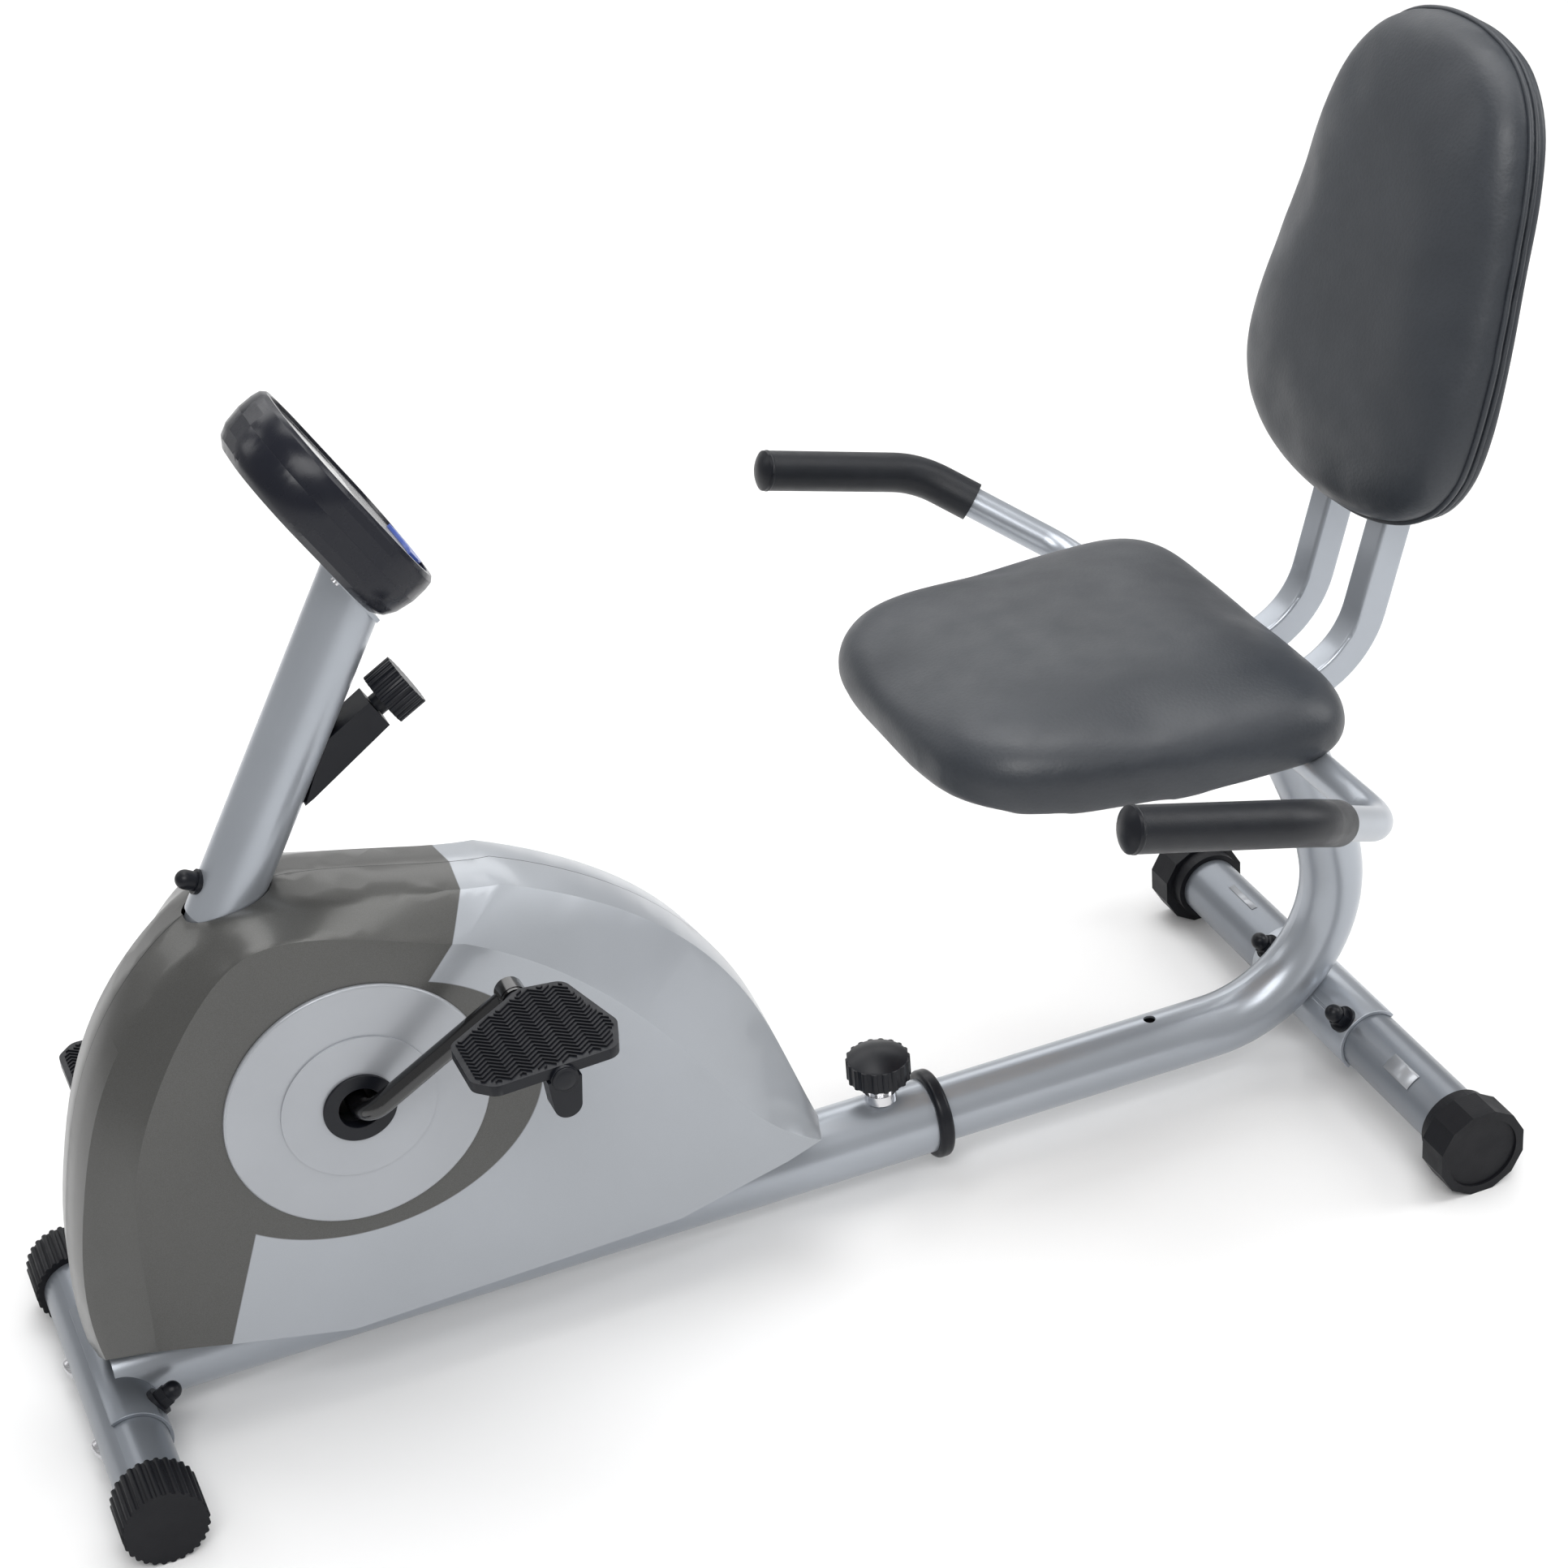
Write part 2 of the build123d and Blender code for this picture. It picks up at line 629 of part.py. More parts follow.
def console_plane(depth=0.0):
    """Frame of the console's face: X down the face, Y to the right, Z out towards the rider."""
    up = radians(FACE_UP)
    out = (cos(up), 0, sin(up))
    origin = (FACE[0] + depth * out[0], 0, FACE[1] + depth * out[2])
    return Location(Plane(origin=origin, x_dir=(sin(up), 0, -cos(up)), z_dir=out))


def console_outline(shrink):
    oval = RectangleRounded(CONSOLE_LEN - 2 * shrink, CONSOLE_WIDE - 2 * shrink, 58 - shrink)
    return Pos(CONSOLE_SHIFT, 0) * oval


def stacked(steps, wall=0.0):
    """Console form through (depth, inset) steps, or its hollow when wall is set."""
    layers = [Pos(0, 0, -depth) * console_outline(inset + wall) for depth, inset in steps]
    form = loft([layers[0], layers[1]], ruled=True)
    for low, high in zip(layers[1:], layers[2:]):
        form += loft([low, high], ruled=True)
    return form


def console_back():
    outer = stacked([(CONSOLE_DEPTH, 13), (41, 6), (33, 2), (SEAM_DEPTH, 0)])
    inner = stacked([(CONSOLE_DEPTH - SHELL_T, 11), (34, 3), (SEAM_DEPTH, 0)], SHELL_T)
    shell = outer - inner
    for x, y in console_screw_spots():
        shell -= Pos(x, y, -CONSOLE_DEPTH) * Cylinder(2.1, 10)
    return console_plane() * (shell - Pos(60, 0, -CONSOLE_DEPTH) * Cylinder(12, 10))


def console_front():
    """Face shell with a window, three button holes and a raised rim."""
    outer = stacked([(SEAM_DEPTH, 0), (9, 0.4), (3, 1.6), (0, 4.5)])
    inner = stacked([(SEAM_DEPTH, 0), (4.5, 3)], SHELL_T)
    shell = outer - inner - extrude(console_outline(9), -2)
    shell -= Pos(-26, 0, 0) * extrude(RectangleRounded(62, 92, 10), -12)
    return console_plane() * (shell - Pos(62, 0, 0) * extrude(button_face(0.4), -12))


def button_face(grow):
    """Crescent across the foot of the face."""
    wide = Pos(-14, 0) * Circle(32 + grow) - Pos(-26, 0) * Circle(32 - grow)
    return wide & Pos(12, 0) * Rectangle(28 + 2 * grow, 50 + 2 * grow)


def mode_button():
    cap = extrude(button_face(0), 6.5)
    flange = extrude(button_face(1.5), 1.5)
    return console_plane() * (Pos(62, 0, -6) * cap + Pos(62, 0, -7.5) * flange)


def display_panel():
    return console_plane() * Pos(-26, 0, -8) * Box(52, 80, 5)



def console_lens():
    return console_plane() * Pos(-26, 0, -4) * extrude(RectangleRounded(61.6, 91.6, 9.8), 2)


def circuit_board():
    return console_plane() * Pos(0, 0, -12) * Box(116, 90, 1.6)


def console_screw_spots():
    return [(44, -16), (44, 16), (76, -14), (76, 14)]


def console_screws():
    screws = []
    for x, y in console_screw_spots():
        shank = Pos(x, y, -44) * Cylinder(2, 10)
        screws.append(console_plane() * (shank + Pos(x, y, -50.2) * Cylinder(3.6, 2.4)))
    tube = rod(along_post(0), along_post(240), POST_R)
    return group([screw - tube for screw in screws])


# ---------------------------------------------------------------- tension control

def knob_axis(distance):
    """A point on the tension knob's axis, measured out from the bracket's face."""
    lean = radians(30)
    return (273 + distance * cos(lean), 0, 531.5 + distance * sin(lean))


def tension_bracket():
    body = plate([(232, 520), (267, 542), (279, 521), (219, 480), (212, 476)], -12, 12)
    pocket = plate([(234, 516), (265, 536.5), (273, 522.5), (228, 491)], -9, 9)
    body -= pocket
    body -= rod(along_post(-60), along_post(140), POST_R)
    return body - rod(knob_axis(-20), knob_axis(10), 4.05) - cable(2.2)


def tension_knob():
    profile = Circle(18.6)
    for step in range(24):
        profile += Rot(0, 0, step * 15) * Pos(18.4, 0) * Circle(1.6)
    plane = Plane(origin=knob_axis(7), x_dir=(0, 1, 0), z_dir=Vector(*knob_axis(1)) - Vector(*knob_axis(0)))
    knob = plane * extrude(profile, 22)
    return knob + rod(knob_axis(0.6), knob_axis(7), 8) + rod(knob_axis(-6), knob_axis(2), 4)


# ---------------------------------------------------------------- seat-position pin

def pin_housing(low, high, radius, bore=0.0):
    """A ring round the pin, between two heights above the top of the sleeve."""
    top = BEAM_Z + SLEEVE_R
    return rod((PIN_X, 0, top + low), (PIN_X, 0, top + high), radius, bore)


def pin_ferrule():
    """Chrome housing screwed into the top of the sleeve, closed above the spring."""
    flange = pin_housing(0, 8, 13) - rod((0, 0, BEAM_Z), (700, 0, BEAM_Z), SLEEVE_R)
    body = flange + pin_housing(-2.6, 2, 8) + pin_housing(8, 17, 10.5)
    return body - pin_housing(-1.3, 15, 7) - pin_housing(-10, 30, PIN_R + 0.05)


def pin_plunger():
    return pin_housing(-13, 24, PIN_R) + pin_housing(-1.1, 0.1, 6.9)


def pin_spring():
    """Sleeve-shaped envelope of the coil spring between the plunger's flange and the housing's lid."""
    return pin_housing(0.3, 14.8, 6.7, PIN_R + 0.4)


def pin_knob():
    low = BEAM_Z + SLEEVE_R + 18
    profile = Circle(24)
    for step in range(18):
        profile += Rot(0, 0, step * 20) * Pos(22.6, 0) * Circle(2.8)
    knob = Pos(PIN_X, 0, low + 3) * extrude(profile, 18)
    knob += rod((PIN_X, 0, low), (PIN_X, 0, low + 3), 14)
    dome = Pos(PIN_X, 0, low + 21 - 46) * Sphere(51.9) & rod((PIN_X, 0, low + 21), (PIN_X, 0, low + 40), 24)
    return knob + dome - rod((PIN_X, 0, low - 5), (PIN_X, 0, BEAM_Z + SLEEVE_R + 24), PIN_R)


# ---------------------------------------------------------------- rear frame

def rear_frame_tube():
    """Sliding tube that turns up behind the seat in one C-shaped sweep."""
    route = [(INNER_START, 0, BEAM_Z), (1050, 0, BEAM_Z), (1022, 0, 217), (956, 0, 384)]
    tube = bent_tube(route, [114, 250], TUBE_R, TUBE_R - TUBE_WALL)
    tube -= across((REAR_X, REAR_Z), -60, 60, TUBE_R + SADDLE_T)
    tube -= block((850, 1100), (-60, 60), (366, 420))
    tube -= across((BAR_CORNER[0], BAR_CORNER[2]), -60, 60, BAR_R)
    for step in range(PIN_HOLES):
        hole_x = PIN_X - step * PIN_PITCH
        tube -= rod((hole_x, 0, BEAM_Z), (hole_x, 0, BEAM_Z + 60), PIN_R + 0.4)
    return tube - rod((862, 0, BEAM_Z), (862, 0, BEAM_Z + 60), PIN_R)


def handlebar():
    mirrored = [(x, -y, z) for x, y, z in (BAR_TIP, BAR_BEND, BAR_CORNER)]
    start = Vector(*mirrored[0]) + (Vector(*mirrored[1]) - Vector(*mirrored[0])).normalized() * 8
    end = Vector(start.X, -start.Y, start.Z)
    route = [tuple(start), *mirrored[1:], BAR_CORNER, BAR_BEND, tuple(end)]
    return bent_tube(route, [70, 45, 45, 70], BAR_R, BAR_R - 1.8)


def grip():
    tip, bend, corner = [Vector(x, -y, z) for x, y, z in (BAR_TIP, BAR_BEND, BAR_CORNER)]
    start = tip + (bend - tip).normalized() * 8
    end = bend + (corner - bend).normalized() * GRIP_PAST
    return bent_tube([tuple(start), tuple(bend), tuple(end)], [70], GRIP_R, BAR_R + 0.1)


def grip_plug():
    """Domed plug closing the end of the grip."""
    tip, bend = [Vector(x, -y, z) for x, y, z in (BAR_TIP, BAR_BEND)]
    way = (bend - tip).normalized()
    start = tip + way * 8
    dome = Pos(*(tip + way * 28)) * Sphere(28) & rod(tuple(tip), tuple(start), GRIP_R)
    return dome + rod(tuple(start), tuple(start + way * 14), BAR_R - 1.9)


def back_axis(s, offset=0.0):
    """A point up the back of the backrest's plane, or behind it by an offset."""
    lean = radians(BACK_LEAN)
    x = BACK_BASE[0] + s * sin(lean) + offset * cos(lean)
    z = BACK_BASE[1] + s * cos(lean) - offset * sin(lean)
    return (x, z)


def back_tubes():
    """Two square tubes from the handlebar, under the seat and up behind the backrest."""
    top, low = back_axis(300, SQUARE / 2), back_axis(-60, SQUARE / 2)
    level = 366.0 - SQUARE / 2 + 13.2
    slope = tan(radians(BACK_LEAN))
    corner = (low[0] - slope * (low[1] - level), level)
    tubes = []
    for y in (-BACK_Y, BACK_Y):
        route = [(BAR_CORNER[0], y, level), (corner[0], y, corner[1]), (top[0], y, top[1])]
        path = FilletPolyline(*route, radius=75)
        box = RectangleRounded(SQUARE, SQUARE, 3) - RectangleRounded(SQUARE - 3, SQUARE - 3, 1.5)
        tube = sweep(Plane(origin=path @ 0, x_dir=(0, 1, 0), z_dir=path % 0) * box, path=path)
        tubes.append(tube - across((BAR_CORNER[0], BAR_CORNER[2]), -80, 80, BAR_R))
    return group(tubes)


def seat_frame():
    """Frame of the seat's underside: X rearwards, Y across, Z square to the board."""
    return Pos(SEAT_PIVOT[0], 0, SEAT_PIVOT[1]) * Rot(0, SEAT_TILT, 0)


def seat_rail(y):
    """Steel channel over the handlebar that one side of the seat board is bolted to."""
    rail = block((-205, 40), (y - 15, y + 15), (-20, 0))
    rail -= block((-202, 60), (y - 12, y + 12), (-20, -3))
    rail -= block((-10, 60), (y - 16, y + 16), (-30, -3))
    for x in (-180, -60):
        rail -= Pos(x, y, -2) * Cylinder(4.2, 10)
    return seat_frame() * rail - across((BAR_CORNER[0], BAR_CORNER[2]), -80, 80, BAR_R)


def seat_back_frame():
    """The square tubes, the seat rails and the plate on the C-shaped tube, all welded together."""
    tubes = back_tubes()
    for x, s in back_bolt_spots():
        tubes -= back_frame() * Pos(x, s, -SQUARE / 2) * Cylinder(4.2, 30)
    frame = tubes.solids()
    for y in (-BACK_Y, BACK_Y):
        frame.append(seat_rail(y))
    return group(frame)


def seat_outline(shrink):
    front, rear = -277 + shrink, 36 - shrink
    wide_front, wide_rear = 137 - shrink, 166 - shrink
    corners = [(front, -wide_front), (rear, -wide_rear), (rear, wide_rear), (front, wide_front)]
    face = make_face(Polyline(*corners, close=True))
    ends = face.vertices().group_by(Axis.X)
    face = fillet(ends[0], 60 - shrink)
    return fillet(face.vertices().group_by(Axis.X)[-1], 52 - shrink)


def seat_board():
    return seat_frame() * (extrude(seat_outline(14), 11) - seat_bolt_holes())


def seat_bolt_holes():
    holes = [Pos(x, y, 0) * Cylinder(4.05, 18) for x in (-180, -60) for y in (-BACK_Y, BACK_Y)]
    return holes[0] + holes[1] + holes[2] + holes[3]


def seat_pad():
    pad = extrude(seat_outline(0), 50)
    pad = fillet(pad.edges().group_by(Axis.Z)[-1], 24)
    return seat_frame() * (pad - extrude(seat_outline(13.5), 11.2))


def seat_bolts():
    bolts = []
    for x in (-180, -60):
        for y in (-BACK_Y, BACK_Y):
            bolt = Pos(x, y, 1.5) * Cylinder(4, 15) + Pos(x, y, -5.5) * Cylinder(7, 5)
            bolt -= Pos(x, y, -1.5) * (Cylinder(9, 3) - Cylinder(4, 3))
            bolts.append(seat_frame() * bolt)
    return group(bolts)


def back_frame():
    """Frame of the backrest's rear face: X across, Y up its slope, Z forwards."""
    lean = radians(BACK_LEAN)
    origin = (BACK_BASE[0], 0, BACK_BASE[1])
    return Location(Plane(origin=origin, x_dir=(0, -1, 0), z_dir=(-cos(lean), 0, sin(lean))))


def back_outline(shrink):
    """Egg-shaped outline, widest low down, drawn for one side and mirrored."""
    side = [(0, 48), (72, 59), (121, 86), (146, 142), (137, 212), (120, 320), (93, 376), (46, 401)]
    side.append((0, 408))
    middle = 228
    points = [(x * (1 - shrink / 148), middle + (s - middle) * (1 - shrink / 178)) for x, s in side]
    right = Spline(*points, tangents=[(1, 0), (-1, 0)])
    left = mirror(right, about=Plane.YZ)
    return make_face(right + left)


def backrest_board():
    board = extrude(back_outline(16), 11)
    for x, s in back_bolt_spots():
        board -= Pos(x, s, 0) * Cylinder(4.05, 30)
    return back_frame() * board


def back_bolt_spots():
    return [(x, s) for x in (-BACK_Y, BACK_Y) for s in (150, 260)]


def backrest_pad():
    pad = extrude(back_outline(0), 26)
    steps = [(26, 0), (38, 4), (46, 11), (50, 22)]
    for (low, wide), (high, narrow) in zip(steps, steps[1:]):
        pad += loft([Pos(0, 0, low) * back_outline(wide), Pos(0, 0, high) * back_outline(narrow)])
    return back_frame() * (pad - extrude(back_outline(15.5), 11.2))


def backrest_bolts():
    bolts = []
    for x, s in back_bolt_spots():
        bolt = Pos(x, s, -7.5) * Cylinder(4, 36) + Pos(x, s, -SQUARE - 2.5) * Cylinder(8, 5)
        bolts.append(back_frame() * bolt)
    return group(bolts)


def saddle_hardware(spot, tilt, y, piece):
    return group([piece(spot, tilt, -y), piece(spot, tilt, y)])


def front_hardware(piece):
    return saddle_hardware(FRONT, FRONT_TILT, FRONT_BOLT_Y, piece)


def rear_hardware(piece):
    return saddle_hardware(REAR, REAR_TILT, REAR_BOLT_Y, piece)


FRONT = (0.0, FRONT_Z)
REAR = (REAR_X, REAR_Z)

NODES = {
    "front_stabilizer_tube": lambda: stabilizer_tube(FRONT, FRONT_TILT, FRONT_BOLT_Y, FRONT_HALF - 4),
    "front_end_caps": lambda: both_sides(ribbed_cap()),
    "front_saddle": lambda: saddle(FRONT, FRONT_TILT, FRONT_BOLT_Y),
    "front_carriage_bolts": lambda: group([front_hardware(carriage_bolt), post_bolt()]),
    "front_dome_nuts": lambda: group([front_hardware(nut_cover), post_nut()]),
    "beam_sleeve": beam_sleeve,
    "slide_bushings": lambda: group([front_bushing(), collar_bushing()]),
    "post_stub_tube": stub_tube,
    "crank_tower": crank_tower,
    "bottom_bracket_bearings": lambda: group([bearing_cups(), crank_bearings()]),
    "console_post": console_post,
    "shroud_left": shroud_left_half,
    "shroud_right": shroud_right_half,
    "shroud_screws": shroud_screws,
    "disc_covers": lambda: both_sides(disc_cover()),
    "crank_rings": lambda: both_sides(crank_ring()),
    "drive_brackets": lambda: group([flywheel_bracket(), idler_bracket()]),
    "axles_and_pins": lambda: group([flywheel_axle(), axle_nuts(), idler_pin(), magnet_pivot_pin()]),
    "drive_belt": drive_belt,
    "tension_cable": lambda: cable(1.6),
    "console_screws": console_screws,
    "console_back_shell": console_back,
    "console_front_shell": console_front,
    "console_lens": console_lens,
    "display_panel": display_panel,
    "circuit_board": circuit_board,
    "tension_bracket": tension_bracket,
    "pin_ferrule": pin_ferrule,
    "crank_rod": crank_rod,
    "pedal_spindles": lambda: group([pedal_spindle(), on_far_side(pedal_spindle())]),
    "drive_pulley": drive_pulley,
    "pedal_left": pedal_body,
    "pedal_right": lambda: on_far_side(pedal_body()),
    "flywheel": flywheel,
    "flywheel_pulley": flywheel_pulley,
    "flywheel_bearings": flywheel_bearings,
    "idler_wheel": idler_wheel,
    "magnet_carriage": magnet_carriage,
    "brake_magnets": brake_magnets,
    "tension_knob": tension_knob,
    "pin_plunger": pin_plunger,
    "pin_spring": pin_spring,
    "pin_knob": pin_knob,
    "mode_button": mode_button,
    "rear_frame_tube": rear_frame_tube,
    "rear_saddle": rear_saddle,
    "rear_stabilizer_tube": lambda: stabilizer_tube(REAR, REAR_TILT, REAR_BOLT_Y, REAR_HALF - 7),
    "rear_carriage_bolts": lambda: rear_hardware(carriage_bolt),
    "rear_dome_nuts": lambda: rear_hardware(nut_cover),
    "handlebar": handlebar,
    "handlebar_grips": lambda: both_sides(grip()),
    "grip_plugs": lambda: both_sides(grip_plug()),
    "seat_back_frame": seat_back_frame,
    "seat_board": seat_board,
    "seat_pad": seat_pad,
    "backrest_board": backrest_board,
    "backrest_pad": backrest_pad,
    "pad_bolts": lambda: group([seat_bolts(), backrest_bolts()]),
    "levelling_cap_left": levelling_cap,
    "levelling_cap_right": lambda: mirror_y(levelling_cap()),
}

if __name__ == "__main__":
    os.makedirs("parts", exist_ok=True)
    for name, build in NODES.items():
        export_step(place(build()), f"parts/{name}.step")
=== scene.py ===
import json
from math import cos, pi, radians, sin

import bmesh
import bpy
from mathutils import Matrix, Vector

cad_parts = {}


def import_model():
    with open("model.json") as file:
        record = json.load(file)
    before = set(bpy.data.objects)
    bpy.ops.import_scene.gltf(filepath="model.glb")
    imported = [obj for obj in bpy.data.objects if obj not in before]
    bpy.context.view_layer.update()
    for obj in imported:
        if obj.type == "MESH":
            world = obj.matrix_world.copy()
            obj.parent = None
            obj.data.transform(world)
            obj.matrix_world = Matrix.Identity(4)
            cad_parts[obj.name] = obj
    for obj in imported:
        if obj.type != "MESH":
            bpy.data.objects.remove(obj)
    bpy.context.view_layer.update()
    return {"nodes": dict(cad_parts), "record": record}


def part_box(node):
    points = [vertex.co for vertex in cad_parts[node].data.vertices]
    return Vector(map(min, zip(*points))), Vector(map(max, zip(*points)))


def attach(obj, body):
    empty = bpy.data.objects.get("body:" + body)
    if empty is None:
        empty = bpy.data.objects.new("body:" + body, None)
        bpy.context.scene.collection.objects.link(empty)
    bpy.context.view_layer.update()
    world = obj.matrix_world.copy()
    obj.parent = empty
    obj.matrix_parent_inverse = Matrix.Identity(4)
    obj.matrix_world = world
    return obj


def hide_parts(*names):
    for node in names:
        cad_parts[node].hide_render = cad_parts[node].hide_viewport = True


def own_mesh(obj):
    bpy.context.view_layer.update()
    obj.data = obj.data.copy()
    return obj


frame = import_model()
NODES = frame["nodes"]

# The frame is in metres, X rearwards and Z up; the front stabiliser's axis lies at this X.
FRONT_AXIS = -0.557689


def at(x, y, z):
    """A place given in millimetres, with X measured from the front stabiliser's axis."""
    return Vector((x / 1000 + FRONT_AXIS, y / 1000, z / 1000))


# ------------------------------------------------------------------ node helpers

class Nodes:
    """Short names for the shader nodes that the materials use."""

    def __init__(self, name):
        self.mat = bpy.data.materials.new(name)
        self.mat.use_nodes = True
        self.tree = self.mat.node_tree
        self.tree.nodes.clear()
        self.out = self.add("ShaderNodeOutputMaterial")
        self.bsdf = self.add("ShaderNodeBsdfPrincipled")
        self.link(self.bsdf.outputs[0], self.out.inputs[0])
        self.coords = self.add("ShaderNodeTexCoord").outputs["Object"]

    def add(self, kind, **settings):
        node = self.tree.nodes.new(kind)
        for key, value in settings.items():
            setattr(node, key, value)
        return node

    def link(self, a, b):
        self.tree.links.new(a, b)

    def feed(self, socket, value):
        if isinstance(value, bpy.types.NodeSocket):
            self.link(value, socket)
        else:
            socket.default_value = value

    def math(self, operation, a, b=0.0, c=0.0):
        node = self.add("ShaderNodeMath", operation=operation)
        for socket, value in zip(node.inputs, (a, b, c)):
            self.feed(socket, value)
        return node.outputs[0]

    def noise(self, scale, detail=3.0, stretch=None):
        node = self.add("ShaderNodeTexNoise")
        node.inputs["Scale"].default_value = scale
        node.inputs["Detail"].default_value = detail
        source = self.coords
        if stretch:
            mapping = self.add("ShaderNodeMapping")
            mapping.inputs["Scale"].default_value = stretch
            self.link(source, mapping.inputs[0])
            source = mapping.outputs[0]
        self.link(source, node.inputs["Vector"])
        return node.outputs[0]

    def cells(self, scale, feature="F1"):
        node = self.add("ShaderNodeTexVoronoi", feature=feature)
        node.inputs["Scale"].default_value = scale
        self.link(self.coords, node.inputs["Vector"])
        return node.outputs["Distance"]

    def spread(self, value, low, high, a=0.3, b=0.7):
        node = self.add("ShaderNodeMapRange")
        for socket, number in zip(node.inputs, (value, a, b, low, high)):
            self.feed(socket, number)
        return node.outputs[0]

    def blend(self, factor, first, second):
        node = self.add("ShaderNodeMix", data_type="RGBA")
        self.feed(node.inputs[0], factor)
        self.feed(node.inputs[6], first)
        self.feed(node.inputs[7], second)
        return node.outputs[2]

    def bump(self, height, strength, distance=0.0005):
        node = self.add("ShaderNodeBump")
        node.inputs["Strength"].default_value = strength
        node.inputs["Distance"].default_value = distance
        self.feed(node.inputs["Height"], height)
        self.link(node.outputs[0], self.bsdf.inputs["Normal"])

    def set(self, **values):
        for key, value in values.items():
            self.feed(self.bsdf.inputs[key.replace("_", " ")], value)
        return self.mat

    def xyz(self):
        node = self.add("ShaderNodeSeparateXYZ")
        self.link(self.coords, node.inputs[0])
        return node.outputs


def rgb(red, green, blue):
    """A colour given as screen values from 0 to 255, made linear."""
    def linear(v):
        v /= 255
        return v / 12.92 if v <= 0.04045 else ((v + 0.055) / 1.055) ** 2.4
    return (linear(red), linear(green), linear(blue), 1.0)


def shade(colour, factor):
    return tuple(c * factor for c in colour[:3]) + (1.0,)


# ------------------------------------------------------------------ materials

def paint(name, colour, metallic=0.6, rough=0.3, coat=0.2):
    """Silver lacquer: fine metal flake, faint orange peel, slow variation in gloss."""
    n = Nodes(name)
    cloudy = n.spread(n.noise(9, 4), 0.0, 1.0)
    flake = n.spread(n.cells(2600), 0.0, 1.0, 0.1, 0.6)
    base = n.blend(cloudy, shade(colour, 0.95), shade(colour, 1.04))
    base = n.blend(n.math("MULTIPLY", flake, 0.04), base, shade(colour, 1.5))
    gloss = n.spread(n.noise(26, 3), rough - 0.02, rough + 0.04, 0.1, 0.9)
    n.bump(n.noise(160, 1), 0.02, 0.0001)
    return n.set(Base_Color=base, Roughness=gloss, Metallic=metallic, Coat_Weight=coat,
                 Coat_Roughness=0.12)


def black_paint(name):
    """Glossy black lacquer over steel."""
    n = Nodes(name)
    base = n.blend(n.noise(30, 4), rgb(8, 8, 9), rgb(17, 17, 19))
    n.bump(n.noise(500, 2), 0.06, 0.0003)
    rough = n.spread(n.noise(40, 5), 0.16, 0.26)
    return n.set(Base_Color=base, Roughness=rough, Coat_Weight=0.6, Coat_Roughness=0.08)


def moulded(name, colour, rough=0.48, grain=900.0, depth=0.18, spread=0.12, shine=0.45):
    """Moulded plastic with spark-eroded grain and slightly uneven gloss."""
    n = Nodes(name)
    base = n.blend(n.noise(14, 4), shade(colour, 1 - spread), shade(colour, 1 + spread))
    fine = n.noise(grain, 2)
    gloss = n.spread(n.noise(60, 5), rough - 0.05, rough + 0.07)
    n.bump(fine, depth, 0.0003)
    return n.set(Base_Color=base, Roughness=gloss, Specular_IOR_Level=shine)


def grip_foam():
    """Dense closed-cell foam: tiny cells under a satin skin."""
    n = Nodes("grip_foam")
    base = n.blend(n.noise(60, 5), rgb(17, 19, 24), rgb(25, 28, 34))
    cells = n.math("ADD", n.cells(1500), n.math("MULTIPLY", n.noise(700, 3), 0.6))
    n.bump(cells, 0.28, 0.0003)
    rough = n.spread(n.noise(90, 4), 0.36, 0.46)
    return n.set(Base_Color=base, Roughness=rough, Specular_IOR_Level=0.4)


def vinyl():
    """Grained upholstery vinyl: leather pebble with painted shade in its hollows, softly polished
    high spots.
    """
    n = Nodes("vinyl")
    pebble = n.cells(430, "SMOOTH_F1")
    fine = n.noise(1500, 3)
    base = n.blend(n.spread(n.noise(7, 4), 0, 1), rgb(38, 42, 48), rgb(48, 52, 58))
    # Painted shade: the hollows between the pebbles are darkened towards rgb(30, 33, 37).
    hollow_shade = n.math("MULTIPLY", n.spread(pebble, 1, 0, 0.0, 0.5), 0.25)
    base = n.blend(hollow_shade, base, rgb(30, 33, 37))
    height = n.math("ADD", pebble, n.math("MULTIPLY", fine, 0.35))
    n.bump(height, 0.22, 0.0005)
    rough = n.spread(n.noise(35, 5), 0.40, 0.52)
    return n.set(Base_Color=base, Roughness=rough, Specular_IOR_Level=0.5, Coat_Weight=0.08,
                 Coat_Roughness=0.35)


def metal(name, colour, rough=0.3, stretch=(1, 1, 30)):
    """Bare or plated metal with fine lines along one axis."""
    n = Nodes(name)
    lines = n.noise(120, 6, stretch)
    base = n.blend(lines, shade(colour, 0.82), shade(colour, 1.08))
    n.bump(lines, 0.06, 0.0003)
    gloss = n.spread(lines, rough - 0.06, rough + 0.08)
    return n.set(Base_Color=base, Metallic=1.0, Roughness=gloss)


def plywood():
    """Bare birch plywood with stretched growth rings."""
    n = Nodes("plywood")
    rings = n.noise(14, 6, (1, 6, 6))
    base = n.blend(n.spread(rings, 0, 1), rgb(150, 112, 70), rgb(198, 160, 110))
    n.bump(rings, 0.3, 0.0005)
    return n.set(Base_Color=base, Roughness=n.spread(rings, 0.6, 0.8))


def clear_window():
    """Smoke-tinted window with faint smears."""
    n = Nodes("clear_window")
    smear = n.spread(n.noise(50, 4), 0.06, 0.14)
    n.bump(n.noise(300, 2), 0.02, 0.0003)
    tint = n.blend(n.noise(20), rgb(26, 28, 34), rgb(34, 36, 42))
    return n.set(Base_Color=tint, Roughness=smear, Transmission_Weight=0.7,
                 Specular_IOR_Level=0.25)


